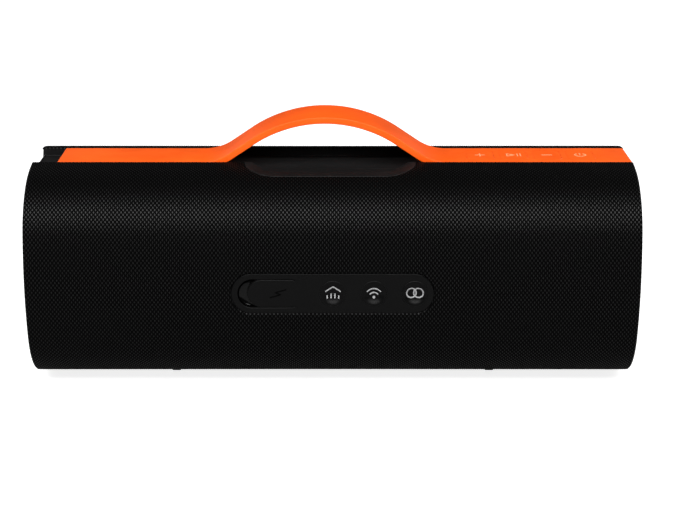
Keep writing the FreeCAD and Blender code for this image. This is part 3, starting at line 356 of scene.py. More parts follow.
def make_woven_finish(settings):
    """The cloth's material: the bump and colours follow the thread counts of the mesh, and the gaps between
    threads get painted shade.
    """
    material, tree, shader = start_material("black_weave")
    threads = put(tree, "ShaderNodeUVMap", uv_map="threads").outputs[0]
    weave = use_group(tree, "plain_weave", {"Threads": threads})
    colour = tuple(settings.colour)
    base = mixed_colour(tree, weave["Yarn"], shaded(colour, 0.55), colour)
    # painted shade: the gaps between the threads get a darker colour than the yarn
    tree.links.new(mixed_colour(tree, weave["Open"], base, grey(0.0006)), shader["Base Color"])
    tree.links.new(ramp(tree, weave["Open"], 0.0, 1.0, 0.52, 0.95), shader["Roughness"])
    tree.links.new(bumped(tree, weave["Height"], 0.55, 0.3 * MM), shader["Normal"])
    closed = maths(tree, "SUBTRACT", 1.0, weave["Open"])
    gloss = product(tree, closed, ramp(tree, weave["Yarn"], 0.0, 1.0, 0.28, 0.44))
    tree.links.new(gloss, shader["Coat Weight"])
    shader["Coat Roughness"].default_value = 0.42
    shader["Specular IOR Level"].default_value = 0.03


def make_finishes(scene):
    """Every material: the cloth, the strap, the signs and one for each slot of the record."""
    for make in (make_grain_group, make_wear_group, make_dust_group, make_weave_group):
        make()
    make_woven_finish(scene.speaker_cloth)
    strap, details = scene.speaker_strap, scene.speaker_details
    moulded("orange_silicone", tuple(strap.colour), tuple(strap.colour_worn), (0.42, 0.52), 3200.0, 0.10,
            wear=0.35, dust=0.0, Specular_IOR_Level=0.22)
    moulded("button_sign_ink", tuple(details.mark_colour), grey(0.5), bump=0.05, wear=0.1)
    moulded("key_sign_ink", tuple(details.key_mark_colour), (0.95, 0.5, 0.3, 1), bump=0.05, wear=0.1,
            dust=0.0)
    moulded("cover_sign", grey(0.0004), grey(0.004), (0.5, 0.6), bump=0.05, dust=0.0, Specular_IOR_Level=0.03)
    # painted shade: the bowl gets a darker colour than the panel it is part of, to darken the hollow
    moulded("bowl_finish", grey(0.0005), grey(0.004), (0.13, 0.17), bump=0.01, wear=0.0, dust=0.0,
            Specular_IOR_Level=0.17)
    rubber = {"bump": 0.06, "grain": 3000.0, "Specular_IOR_Level": 0.09}
    glossy = {"bump": 0.05, "wear": 0.0, "Specular_IOR_Level": 0.095}
    metal = {"Metallic": 1.0}
    table = {
        "weave": (0.012, 0.02, (0.45, 0.6), {}),
        "housing": (0.03, 0.08, (0.5, 0.7), {}),
        "channel": (0.005, 0.03, (0.4, 0.5), {"bump": 0.1, "Specular_IOR_Level": 0.12}),
        "panel": (0.0016, 0.02, (0.3, 0.38), glossy),
        "button": (0.0016, 0.02, (0.3, 0.38), rubber),
        "cover": (0.0016, 0.02, (0.3, 0.38), glossy),
        "foot": (0.015, 0.05, (0.6, 0.8), rubber),
        "surround": (0.012, 0.04, (0.4, 0.5), rubber),
        "steel": (0.55, 0.7, (0.25, 0.4), metal),
        "circuit": ((0.012, 0.13, 0.05, 1), (0.3, 0.3, 0.2, 1), (0.25, 0.35), {"bump": 0.05}),
        "switch": (0.04, 0.1, (0.35, 0.5), {}),
        "contact": (0.7, 0.8, (0.12, 0.22), {"bump": 0.03, **metal}),
        "basket": (0.03, 0.2, (0.35, 0.5), {}),
        "cone": (0.025, 0.05, (0.6, 0.8), {"bump": 0.4, "grain": 900.0}),
        "magnet": (0.06, 0.15, (0.5, 0.7), {"bump": 0.3}),
        "cap": (0.014, 0.06, (0.42, 0.55), {}),
        "radiator": (0.016, 0.08, (0.3, 0.42), {"bump": 0.08}),
        "cell": ((0.04, 0.17, 0.45, 1), (0.3, 0.4, 0.6, 1), (0.2, 0.3), {"bump": 0.05}),
        "tray": (0.05, 0.1, (0.5, 0.65), {}),
        "fin": (0.62, 0.75, (0.3, 0.45), metal),
    }
    for slot, (*pair, rough, extras) in table.items():
        colour, worn = [grey(tone) if isinstance(tone, float) else tone for tone in pair]
        moulded(slot + "_finish", colour, worn, rough, **extras)
    for node in frame["nodes"].values():
        for held in node.material_slots:
            slot = held.material.name.split(".")[0]
            name = "orange_silicone" if slot in ("strap", "key") else slot + "_finish"
            held.material = bpy.data.materials[name]


# ---- mesh helpers ----
def add_object(name, data):
    """An object in the scene for a mesh, a light or a camera."""
    thing = bpy.data.objects.new(name, data)
    bpy.context.scene.collection.objects.link(thing)
    return thing


def new_mesh(name, points, faces, edges=()):
    mesh = bpy.data.meshes.new(name)
    mesh.from_pydata(points, edges, faces)
    return mesh


def show(name, mesh, finish, slot):
    """A piece with its mesh at the origin and one material. The slot argument is not used."""
    piece = add_object(name, mesh)
    mesh.name = name
    mesh.materials.clear()
    mesh.materials.append(bpy.data.materials[finish])
    return piece


def riding(name, mesh, finish, slot, body, *nodes):
    """A piece that rides on one body, in place of the CAD nodes it stands for."""
    piece = show(name, mesh, finish, slot)
    if nodes:
        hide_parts(*nodes)
    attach(piece, body)
    return piece


def evaluated_mesh(source):
    """Plain mesh of an object with its modifiers done; the object is then removed."""
    depsgraph = bpy.context.evaluated_depsgraph_get()
    mesh = bpy.data.meshes.new_from_object(source.evaluated_get(depsgraph), depsgraph=depsgraph)
    bpy.data.objects.remove(source)
    return mesh


def grow(tree_name, finish, values, points=(), edges=()):
    """Mesh that a geometry tree makes from a line of points and its named inputs."""
    tree = bpy.data.node_groups[tree_name]
    path = new_mesh(tree_name + "_path", [tuple(p) for p in points], [], edges)
    source = add_object(tree_name + "_source", path)
    modifier = source.modifiers.new("shape", "NODES")
    modifier.node_group = tree
    values = {"Finish": bpy.data.materials[finish], **values}
    for item in tree.interface.items_tree:
        if item.in_out == "INPUT" and item.name in values:
            modifier[item.identifier] = values[item.name]
    return evaluated_mesh(source)


def band(points, finish, width, thickness, edge_radius, closed=False):
    """Mesh of a band swept along a line of points."""
    count = len(points)
    edges = [(i, (i + 1) % count) for i in range(count if closed else count - 1)]
    values = {"Width": width, "Thickness": thickness, "Edge Radius": edge_radius}
    return grow("band_along_path", finish, values, points, edges)


def smoothed(mesh, angle=SMOOTH_ANGLE):
    """Shade smooth, apart from edges sharper than an angle in degrees."""
    mesh.shade_smooth()
    mesh.set_sharp_from_angle(angle=math.radians(angle))
    return mesh


def tidy_mesh(mesh, smooth_angle=SMOOTH_ANGLE):
    """Merge doubles, turn faces outward and shade smooth below an angle."""
    shape = bmesh.new()
    shape.from_mesh(mesh)
    bmesh.ops.remove_doubles(shape, verts=shape.verts, dist=0.001 * MM)
    bmesh.ops.recalc_face_normals(shape, faces=shape.faces)
    shape.to_mesh(mesh)
    shape.free()
    return smoothed(mesh, smooth_angle)


def rounded_copy(node, width, steps=2, change=None):
    """Copy of a CAD node's mesh, merged, its flat faces joined and its sharp edges rounded."""
    mesh = frame["nodes"][node].data.copy()
    shape = bmesh.new()
    shape.from_mesh(mesh)
    bmesh.ops.remove_doubles(shape, verts=shape.verts, dist=MERGE)
    bmesh.ops.dissolve_limit(shape, angle_limit=math.radians(0.6), verts=shape.verts, edges=shape.edges)
    if change:
        change(shape)
    shape.to_mesh(mesh)
    shape.free()
    source = add_object(node + "_source", mesh)
    bevel = source.modifiers.new("edges", "BEVEL")
    bevel.width = width
    bevel.segments = steps
    bevel.limit_method = "ANGLE"
    bevel.angle_limit = math.radians(BEVEL_ANGLE)
    bevel.use_clamp_overlap = False
    bevel.miter_outer = "MITER_ARC"
    smoothed(mesh, BEVEL_ANGLE)
    even = source.modifiers.new("even", "WEIGHTED_NORMAL")
    even.weight = 100
    even.keep_sharp = True
    return evaluated_mesh(source)


def placed(mesh, matrix):
    mesh.transform(matrix)
    if matrix.determinant() < 0:
        mesh.flip_normals()
    return mesh


def joined(meshes):
    """One mesh from several."""
    whole = bmesh.new()
    for mesh in meshes:
        whole.from_mesh(mesh)
    result = bpy.data.meshes.new("joined")
    whole.to_mesh(result)
    whole.free()
    return result


# ---- geometry trees ----
def rounded_section(tree, width, thickness, radius):
    """Rounded rectangle to sweep along a path."""
    outline = put(tree, "GeometryNodeCurvePrimitiveQuadrilateral", {"Width": width, "Height": thickness})
    links = {"Curve": outline.outputs[0], "Radius": radius, "Count": 5}
    return put(tree, "GeometryNodeFilletCurve", links, mode="POLY").outputs[0]


def swept_bar(tree, path, given, thickness):
    """A line swept upright with the rounded section of a tree's inputs."""
    upright = put(tree, "GeometryNodeSetCurveNormal", {"Curve": path.outputs[0]}, mode="Z_UP")
    section = rounded_section(tree, given["Width"], given[thickness], given["Edge Radius"])
    return put(tree, "GeometryNodeCurveToMesh", {"Curve": upright.outputs[0], "Profile Curve": section,
                                                 "Fill Caps": True}).outputs[0]


def finish_tree(tree, geometry, finish, out):
    """End a tree with real geometry and its material."""
    real = put(tree, "GeometryNodeRealizeInstances", {"Geometry": geometry})
    done = put(tree, "GeometryNodeSetMaterial", {"Geometry": real.outputs[0], "Material": finish})
    tree.links.new(done.outputs[0], out["Geometry"])


def make_band_tree():
    """A band of rounded section that follows a line of points, upright."""
    tree, given, out = new_group("band_along_path", {
        "Geometry": "Geometry", "Width": 0.03, "Thickness": 0.003, "Edge Radius": 0.0004,
        "Finish": "Material"}, ("Geometry",), "GeometryNodeTree")
    path = put(tree, "GeometryNodeMeshToCurve", {"Mesh": given["Geometry"]})
    finish_tree(tree, swept_bar(tree, path, given, "Thickness"), given["Finish"], out)


def make_bars_tree():
    """A row or a ring of like bars, each a rounded section swept along X."""
    tree, given, out = new_group("repeated_bars", {
        "Geometry": "Geometry", "Count": "Int", "Step": "Vector", "Turn": 0.0, "Bar Start": "Vector",
        "Bar End": "Vector", "Width": 0.0015, "Height": 0.0005, "Edge Radius": 0.0002, "Finish": "Material",
    }, ("Geometry",), "GeometryNodeTree")
    line = put(tree, "GeometryNodeCurvePrimitiveLine", {"Start": given["Bar Start"], "End": given["Bar End"]})
    bar = swept_bar(tree, line, given, "Height")
    row = put(tree, "GeometryNodeMeshLine", {"Count": given["Count"], "Offset": given["Step"]})
    angle = product(tree, tree.nodes.new("GeometryNodeInputIndex").outputs[0], given["Turn"])
    turn = put(tree, "ShaderNodeCombineXYZ", {"Z": angle})
    spread = put(tree, "GeometryNodeInstanceOnPoints", {"Points": row.outputs[0], "Instance": bar,
                                                        "Rotation": turn.outputs[0]})
    finish_tree(tree, spread.outputs[0], given["Finish"], out)


# ---- cloth ----
def barrel_arcs(cloth):
    """Centre, radius, first and last angle of the arcs the cloth follows, from the slot's rear edge down the
    rear, under the barrel and up the front to the slot's front edge. Angles are from +Y towards +Z."""
    half_depth = (SKIN_HIGH.y - SKIN_LOW.y) / 2
    half_height = (cloth.top - SKIN_LOW.z) / 2
    big, small = cloth.side_radius, cloth.corner_radius
    side = half_depth - big
    top = half_height - big
    span = math.hypot(top, side)
    rise = math.sqrt((big - small) ** 2 - span ** 2 / 4)
    corner_y = side / 2 - (top / span) * rise
    corner_z = top / 2 - (side / span) * rise
    low = math.atan2(corner_z, corner_y - side)
    high = math.atan2(corner_z - top, corner_y)
    slot = STRAP_HIGH.y + cloth.slot_gap
    edge = math.acos(slot / big)
    half, full = math.pi, 2 * math.pi
    return [
        ((0, top), big, half - edge, half - high),
        ((-corner_y, corner_z), small, half - high, half - low),
        ((-side, 0), big, half - low, half + low),
        ((-corner_y, -corner_z), small, half + low, half + high),
        ((0, -top), big, half + high, full - high),
        ((corner_y, -corner_z), small, full - high, full - low),
        ((side, 0), big, -low, low),
        ((corner_y, corner_z), small, low, high),
        ((0, top), big, high, edge),
    ]


def barrel_length(arcs):
    return sum(radius * (end - start) for centre, radius, start, end in arcs)


def on_barrel(arcs, run, middle_z):
    """Positions (y, z) and outward directions for distances round the barrel."""
    lengths = [radius * (end - start) for centre, radius, start, end in arcs]
    starts = np.concatenate([[0.0], np.cumsum(lengths)])
    which = np.clip(np.searchsorted(starts, run, side="right") - 1, 0, len(arcs) - 1)
    centre_y = np.array([arc[0][0] for arc in arcs])[which]
    centre_z = np.array([arc[0][1] for arc in arcs])[which]
    radius = np.array([arc[1] for arc in arcs])[which]
    first = np.array([arc[2] for arc in arcs])[which]
    angle = first + (run - starts[which]) / radius
    out_y, out_z = np.cos(angle), np.sin(angle)
    return centre_y + radius * out_y, middle_z + centre_z + radius * out_z, out_y, out_z


def pill_edge(u, v, low, high):
    """Distance outside a pill that fills the box from low to high and lies along its first side."""
    radius = (high[1] - low[1]) / 2
    reach = (high[0] - low[0]) / 2 - radius
    beyond = np.maximum(np.abs(u - (low[0] + high[0]) / 2) - reach, 0)
    return np.hypot(beyond, v - (low[1] + high[1]) / 2) - radius - HOLE_GAP


def panel_edge(x, y, z):
    """Distance outside the rear panel's outline."""
    low, high = low_of("rear_panel"), high_of("rear_panel")
    return np.where(y < 0, pill_edge(x, z, (low.x, low.z), (high.x, high.z)), FAR)


def scoop_edge(x, y, z):
    """Distance outside the finger scoop's outline, seen from above."""
    left, right = [np.hypot(x - end_x, np.minimum(y - end_y, 0)) - radius
                   for end_x, end_y, radius in (SCOOP_LEFT, SCOOP_RIGHT)]
    distance = np.where(x < SCOOP_LEFT[0], left, np.where(x > SCOOP_RIGHT[0], right, SCOOP_REAR - y))
    return np.where((z > TOP_SIDE) & (y < 0), distance, FAR)


def foot_edge(x, y, z):
    """Distance outside the nearer foot's outline, seen from below."""
    low, high = low_of("right_foot"), high_of("right_foot")
    distance = pill_edge(y, np.abs(x), (low.y, low.x), (high.y, high.x))
    return np.where(z < UNDERSIDE, distance, FAR)


def folded(distance, radius):
    """Depth of a quarter-round fold at a distance from its edge."""
    inside = np.clip(radius - distance, 0, radius)
    return radius - np.sqrt(np.maximum(radius ** 2 - inside ** 2, 0))


def fold_stops(first, last, step, fold):
    """Places along a run: even steps between two quarter-round folds."""
    middle = np.arange(math.ceil((first + fold) / step), math.floor((last - fold) / step) + 1) * step
    turn = np.radians(np.arange(15, 91, 15))
    inset = fold * (1 - np.sin(turn))
    return np.concatenate([(first + inset)[::-1], middle, last - inset])


def thread_height(u, v):
    """Height of a plain weave, from 0 in its gaps to 1 on its threads."""
    cu, cv = np.cos(np.pi * u), np.cos(np.pi * v)
    warp = CRIMP * np.sign(cu) * cv + np.abs(cu) ** WARP_ROUNDNESS
    weft = -CRIMP * np.sign(cv) * cu + np.abs(cv) ** WEFT_ROUNDNESS
    return np.maximum(warp, weft * WEFT_SHARE) / THREAD_PEAK


def cloth_grid(cloth):
    """The whole cloth as a grid: outer and inner points, thread counts and which faces are kept."""
    arcs = barrel_arcs(cloth)
    total = barrel_length(arcs)
    middle_z = (SKIN_LOW.z + cloth.top) / 2
    warp = (SKIN_HIGH.x - SKIN_LOW.x) / round((SKIN_HIGH.x - SKIN_LOW.x) / cloth.warp_pitch)
    weft = total / round(total / cloth.weft_pitch)
    x, run = np.meshgrid(fold_stops(SKIN_LOW.x, SKIN_HIGH.x, warp / cloth.across, cloth.fold),
                         fold_stops(0.0, total, weft / cloth.around, cloth.fold))

    def edge_at(x, run):
        y, z, _, _ = on_barrel(arcs, run, middle_z)
        return np.minimum(np.minimum(panel_edge(x, y, z), scoop_edge(x, y, z)), foot_edge(x, y, z))

    edge = edge_at(x, run)
    keep = np.maximum.reduce([edge[:-1, :-1], edge[1:, :-1], edge[:-1, 1:], edge[1:, 1:]]) > 0.05 * MM
    tiny = 0.01 * MM
    for _ in range(4):
        over = np.minimum(edge, 0)
        slope_x = (edge_at(x + tiny, run) - edge_at(x - tiny, run)) / (2 * tiny)
        slope_run = (edge_at(x, run + tiny) - edge_at(x, run - tiny)) / (2 * tiny)
        size = np.maximum(slope_x ** 2 + slope_run ** 2, 0.2)
        x = x - over * slope_x / size
        run = np.clip(run - over * slope_run / size, 0, total)
        edge = edge_at(x, run)
    y, z, out_y, out_z = on_barrel(arcs, run, middle_z)
    end = np.minimum(SKIN_HIGH.x - np.abs(x), np.minimum(run, total - run))
    fold = np.maximum(folded(np.maximum(edge, 0), cloth.hole_fold), folded(np.maximum(end, 0), cloth.fold))
    u, v = x / warp, run / weft
    depth = fold + cloth.relief * (1 - thread_height(u, v))
    under = np.maximum(cloth.thickness, fold + 0.1 * MM)
    outer = np.stack([x, y - out_y * depth, z - out_z * depth], axis=-1)
    inner = np.stack([x, y - out_y * under, z - out_z * under], axis=-1)
    along = np.gradient(outer, axis=1)
    round_about = np.gradient(outer, axis=0)
    facing = np.cross(round_about, along)
    facing /= np.maximum(np.linalg.norm(facing, axis=-1, keepdims=True), 1e-12)
    straight = np.stack([np.zeros_like(x), out_y, out_z], axis=-1)
    facing *= np.sign((facing * straight).sum(axis=-1, keepdims=True) + 1e-9)
    return outer, inner, facing, straight, np.stack([u, v], axis=-1), keep


def closed_sheet(name, outer, inner, facing, straight, threads, keep):
    """Mesh of one length of cloth: its face, its back and the strip between them."""
    rows, columns = outer.shape[:2]
    number = np.arange(rows * columns).reshape(rows, columns)
    quads = np.stack([number[:-1, :-1], number[1:, :-1], number[1:, 1:], number[:-1, 1:]], axis=-1)[keep]
    back = rows * columns
    edges = np.concatenate([quads[:, [i, (i + 1) % 4]] for i in range(4)])
    code = edges[:, 0] * back + edges[:, 1]
    turned = edges[:, 1] * back + edges[:, 0]
    rim = edges[~np.isin(code, turned)]
    strip = np.stack([rim[:, 1], rim[:, 0], rim[:, 0] + back, rim[:, 1] + back], axis=-1)
    faces = np.concatenate([quads, quads[:, ::-1] + back, strip])
    points = np.concatenate([outer.reshape(-1, 3), inner.reshape(-1, 3)])
    counts = np.concatenate([threads.reshape(-1, 2)] * 2)
    used, faces = np.unique(faces, return_inverse=True)
    faces = faces.reshape(-1, 4)
    mesh = new_mesh(name, points[used].tolist(), faces.tolist())
    layer = mesh.uv_layers.new(name="threads")
    layer.data.foreach_set("uv", counts[used][faces.reshape(-1)].astype(np.float32).reshape(-1))
    mesh.shade_smooth()
    normals = np.concatenate([facing.reshape(-1, 3), -straight.reshape(-1, 3)])
    mesh.normals_split_custom_set_from_vertices(normals[used].tolist())
    return mesh


class SPEAKER_OT_cloth(bpy.types.Operator):
    """Make the woven cloth that wraps the barrel"""
    bl_idname = "speaker.cloth"
    bl_label = "Woven Cloth"

    def execute(self, context):
        cloth = context.scene.speaker_cloth
        outer, inner, facing, straight, threads, keep = cloth_grid(cloth)
        columns = outer.shape[1] - 1
        cuts = [round(columns * i / cloth.parts) for i in range(cloth.parts + 1)]
        for i, (first, last) in enumerate(zip(cuts[:-1], cuts[1:])):
            span = slice(first, last + 1)
            mesh = closed_sheet(f"cloth_{i + 1}", outer[:, span], inner[:, span], facing[:, span],
                                straight[:, span], threads[:, span], keep[:, first:last])
            piece = riding(f"cloth_{i + 1}", mesh, "black_weave", "weave", SPEAKER, "fabric_grille")
        return {"FINISHED"}


# ---- strap ----
def bend_points(i, strap):
    """Line of the strap round hinge i, from one straight run to the next."""
    count = len(HINGES)
    right = Vector((1, 0, 0))
    before = (HINGES[i - 1] - HINGES[i]).normalized() if i else right
    after = (HINGES[i + 1] - HINGES[i]).normalized() if i + 1 < count else -right
    run = strap.foot_run if i in (0, 1, count - 2, count - 1) else strap.crown_run
    start = HINGES[i] + before * run
    end = HINGES[i] + after * run
    angle = math.pi - before.angle(after)
    radius = run / math.tan(angle / 2)
    inward = (before + after).normalized()
    centre = HINGES[i] + inward * (radius / math.cos(angle / 2))
    from_centre = start - centre
    axis = from_centre.cross(end - centre).normalized()
    steps = 12
    arc = [centre + Matrix.Rotation(angle * k / steps, 3, axis) @ from_centre for k in range(steps + 1)]
    head = HINGES[i] + (right * strap.foot_lap if i == 0 else (HINGES[i - 1] - HINGES[i]) / 2)
    tail = HINGES[i] + (-right * strap.foot_lap if i + 1 == count else (HINGES[i + 1] - HINGES[i]) / 2)
    return [head] + arc + [tail], start, end


def swept_band(points, strap):
    """A length of the strap along a line of points."""
    size = STRAP_HIGH - STRAP_LOW
    return tidy_mesh(band(points, "orange_silicone", size.y, size.z, strap.edge_radius))


def round_end(mesh, x, radius):
    """Round the rim of a band's flat end at x."""
    shape = bmesh.new()
    shape.from_mesh(mesh)
    rim = [e for e in shape.edges if all(abs(v.co.x - x) < 0.01 * MM for v in e.verts)]
    bmesh.ops.bevel(shape, geom=rim, offset=radius, segments=3, profile=0.5, affect="EDGES")
    shape.to_mesh(mesh)
    shape.free()
    return smoothed(mesh)


def rounded_outline(middle, length, width, corner, steps=8):
    """Points of a rounded rectangle in plan."""
    points = []
    for k, (sx, sy) in enumerate(((1, 1), (-1, 1), (-1, -1), (1, -1))):
        for j in range(steps + 1):
            angle = math.pi / 2 * (k + j / steps)
            points.append((middle.x + sx * (length / 2 - corner) + corner * math.cos(angle),
                           middle.y + sy * (width / 2 - corner) + corner * math.sin(angle)))
    return points


def key_hole_block(key, details):
    """Block that cuts one key's hole."""
    size = high_of(key) - low_of(key)
    less = 2 * details.key_flange
    gap = 2 * 0.06 * MM
    outline = rounded_outline(middle_of(key), size.x - less + gap, size.y - less + gap, details.key_corner)
    count = len(outline)
    points = [(x, y, z) for z in (STRAP_LOW.z - MM, STRAP_HIGH.z + MM) for x, y in outline]
    faces = [tuple(range(count))[::-1], tuple(range(count, 2 * count))]
    faces += [(i, (i + 1) % count, (i + 1) % count + count, i + count) for i in range(count)]
    return new_mesh("key_hole", points, faces)


class SPEAKER_OT_strap(bpy.types.Operator):
    """Make the strap: a fixed part, eight bends and a sliding part"""
    bl_idname = "speaker.strap"
    bl_label = "Carrying Strap"

    def execute(self, context):
        strap, details = context.scene.speaker_strap, context.scene.speaker_details
        look = ("orange_silicone", "strap")
        end_radius = strap.edge_radius * 0.8
        bends = [bend_points(i, strap) for i in range(len(HINGES))]
        fixed = swept_band([Vector((STRAP_HIGH.x, 0, HINGES[0].z)), bends[0][0][0]], strap)
        source = add_object("fixed_source", round_end(fixed, STRAP_HIGH.x, end_radius))
        holes = add_object("holes", joined([key_hole_block(key, details) for key in KEYS]))
        cut = source.modifiers.new("holes", "BOOLEAN")
        cut.object = holes
        cut.solver = "EXACT"
        mesh = evaluated_mesh(source)
        bpy.data.objects.remove(holes)
        mesh.set_sharp_from_angle(angle=math.radians(SMOOTH_ANGLE))
        riding("strap_fixed_part", mesh, *look, SPEAKER, "strap_fixed_end")
        tip = low_of("strap_sliding_end").x
        slide = swept_band([bends[-1][0][-1], Vector((tip, 0, HINGES[-1].z))], strap)
        riding("strap_sliding_part", round_end(slide, tip, end_radius), *look, SLIDE, "strap_sliding_end")
        for i, (points, start, end) in enumerate(bends):
            piece = show(f"strap_bend_{i + 1}", swept_band(points, strap), *look)
            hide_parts(*[f"strap_link_{k}" for k in (i, i + 1) if 1 <= k <= 7])
            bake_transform(piece)
        return {"FINISHED"}


# ---- signs ----
def arc_line(x, y, radius, first, last, steps=16):
    turn = math.radians(last - first) / steps
    return [(x + radius * math.cos(math.radians(first) + turn * k),
             y + radius * math.sin(math.radians(first) + turn * k)) for k in range(steps + 1)]


def filled_in(points, closed, step=0.5):
    """The line with more points on its long runs."""
    line = list(points) + ([points[0]] if closed else [])
    result = [line[0]]
    for (x0, y0), (x1, y1) in zip(line[:-1], line[1:]):
        count = max(1, math.ceil(math.hypot(x1 - x0, y1 - y0) / step))
        result += [(x0 + (x1 - x0) * k / count, y0 + (y1 - y0) * k / count) for k in range(1, count + 1)]
    return result[:-1] if closed else result


def stroke(*points):
    """An open line of a sign, in millimetres."""
    return points, False


SIGNS = {
    "volume_up_key": [stroke((-2.4, 0), (2.4, 0)), stroke((0, -2.9), (0, 2.9))],
    "volume_down_key": [stroke((-2.6, 0), (2.6, 0))],
    "play_key": [([(-3.2, -2.5), (-3.2, 2.5), (0.4, 0)], True), stroke((1.9, -2.5), (1.9, 2.5)),
                 stroke((3.4, -2.5), (3.4, 2.5))],
    "power_key": [stroke(*arc_line(0, 0, 2.7, 125, 415)), stroke((0, 0.4), (0, 3.4))],
    "bass_button": [stroke((-3.6, 0.7), (0, 3.0), (3.6, 0.7))] + [
        stroke((x, -2.6), (x, top)) for x, top in ((-2.7, -1.2), (-0.9, -0.3), (0.9, -0.3), (2.7, -1.2))],
    "wireless_button": [(arc_line(0, -2.1, 0.35, 0, 337.5, 15), True),
                        stroke(*arc_line(0, -2.1, 2.3, 35, 145)), stroke(*arc_line(0, -2.1, 4.2, 40, 140))],
    "pairing_button": [(arc_line(x, 0, 2.25, 0, 345, 23), True) for x in (-1.65, 1.65)],
    "port_cover": [stroke((3.9, 2.0), (-1.3, 0.5), (1.3, -0.5), (-3.9, -2.0))],
}


def sign_mesh(name, details, finish):
    """Strokes of one sign, flat in plan round the origin."""
    strokes = []
    for points, closed in SIGNS[name]:
        line = [(x * MM, y * MM, 0) for x, y in filled_in(points, closed)]
        strokes.append(tidy_mesh(band(line, finish, details.mark_width, 2 * details.mark_height,
                                      details.mark_height * 0.8, closed)))
    return joined(strokes)


class SPEAKER_OT_keys(bpy.types.Operator):
    """Make the four keys in the strap and their signs"""
    bl_idname = "speaker.keys"
    bl_label = "Strap Keys"

    def execute(self, context):
        for key in KEYS:
            riding(key + "_cap", rounded_copy(key, 0.14 * MM), "orange_silicone", "key", key, key)
            place = Vector((middle_of(key).x, 0, high_of(key).z))
            mesh = sign_mesh(key, context.scene.speaker_details, "key_sign_ink")
            mesh = placed(mesh, Matrix.Translation(place))
            mesh.shade_smooth()
            riding(key + "_sign", mesh, "key_sign_ink", "key", key)
        return {"FINISHED"}


# ---- rear panel ----
def pill_outline(low, high, grow, steps=28):
    """Points (x, z) of an upright pill that fills the box from low to high, grown by a distance."""
    radius = (high[1] - low[1]) / 2
    middle = (high[1] + low[1]) / 2
    points = []
    reach = radius + grow
    for centre, start in ((high[0] - radius, -90.0), (low[0] + radius, 90.0)):
        for k in range(steps + 1):
            angle = math.radians(start + 180.0 * k / steps)
            points.append((centre + reach * math.cos(angle), middle + reach * math.sin(angle)))
    if high[0] - low[0] - 2 * radius < 0.001 * MM:
        points = points[:steps] + points[steps + 1:-1]
    return points


def rounded_plate(outlines, front, back, end_x=None, steps=6):
    """Upright plate with holes and rounded front edges: the first outline is its edge, the rest its holes.
    Each outline is (low, high, edge radius) of a pill; end_x cuts the first one's right end off."""
    points, faces, fronts, backs = [], [], [], []
    for number, (low, high, radius) in enumerate(outlines):
        side = 1.0 if number == 0 else -1.0
        rings = []
        for k in range(steps + 1):
            turn = math.pi / 2 * k / steps
            ring = pill_outline(low, high, -side * radius * (1 - math.sin(turn)))
            rings.append((ring, front + radius * (1 - math.cos(turn))))
        rings.append((pill_outline(low, high, 0.0), back))
        numbers = []
        for ring, y in rings:
            numbers.append(range(len(points), len(points) + len(ring)))
            points += [(x if end_x is None or number else min(x, end_x), y, z) for x, z in ring]
        for one, two in zip(numbers[:-1], numbers[1:]):
            count = len(one)
            faces += [(one[i], one[(i + 1) % count], two[(i + 1) % count], two[i]) for i in range(count)]
        fronts.append(list(numbers[0]))
        backs.append(list(numbers[-1]))
    for loops in (fronts, backs):
        flat = [[Vector((points[i][0], points[i][2], 0.0)) for i in loop] for loop in loops]
        order = [i for loop in loops for i in loop]
        faces += [tuple(order[i] for i in triangle) for triangle in tessellate_polygon(flat)]
    mesh = tidy_mesh(new_mesh("plate", points, faces), 50.0)
    normals = [Vector(corner.vector) for corner in mesh.corner_normals]
    for face in mesh.polygons:
        if abs(face.normal.y) > 0.999:
            for corner in face.loop_indices:
                normals[corner] = face.normal.copy()
    mesh.normals_split_custom_set(normals)
    return mesh


def panel_front(details):
    """The panel's front: a pill with the cover's pocket and three round holes."""
    low, high = low_of("rear_panel"), high_of("rear_panel")
    cover_low, cover_high = low_of("port_cover"), high_of("port_cover")
    gap = 0.15 * MM
    outlines = [((low.x, low.z), (high.x, high.z), details.edge_round),
                ((details.pocket_left, cover_low.z - gap), (cover_high.x + gap, cover_high.z + gap),
                 details.edge_round)]
    for button in BUTTONS:
        middle = middle_of(button)
        hole = (high_of(button).x - low_of(button).x) / 2 - details.button_flange + 0.12 * MM
        outlines.append(((middle.x - hole, middle.z - hole), (middle.x + hole, middle.z + hole), 0.05 * MM))
    return rounded_plate(outlines, low.y, low.y + details.pocket_depth)


def turned_mesh(profile, steps=72):
    """Closed mesh turned round the Y axis from (radius, depth) points that start and end on the axis."""
    points, faces, rings = [], [], []
    for radius, depth in profile:
        if radius < 1e-9:
            rings.append([len(points)])
            points.append((0.0, depth, 0.0))
            continue
        rings.append(list(range(len(points), len(points) + steps)))
        for k in range(steps):
            angle = 2 * math.pi * k / steps
            points.append((radius * math.cos(angle), depth, radius * math.sin(angle)))
    for one, two in zip(rings[:-1], rings[1:]):
        for k in range(steps):
            n = (k + 1) % steps
            if len(one) == 1:
                faces.append((one[0], two[k], two[n]))
            elif len(two) == 1:
                faces.append((one[k], two[0], one[n]))
            else:
                faces.append((one[k], two[k], two[n], one[n]))
    return tidy_mesh(new_mesh("turned", points, faces))


def dish_depth(radius, details):
    """Depth of a button's hollow at a distance from its middle."""
    share = min(1.0, radius / details.dish_reach)
    return details.dish_depth * (0.5 + 0.5 * math.cos(math.pi * share ** 1.7))


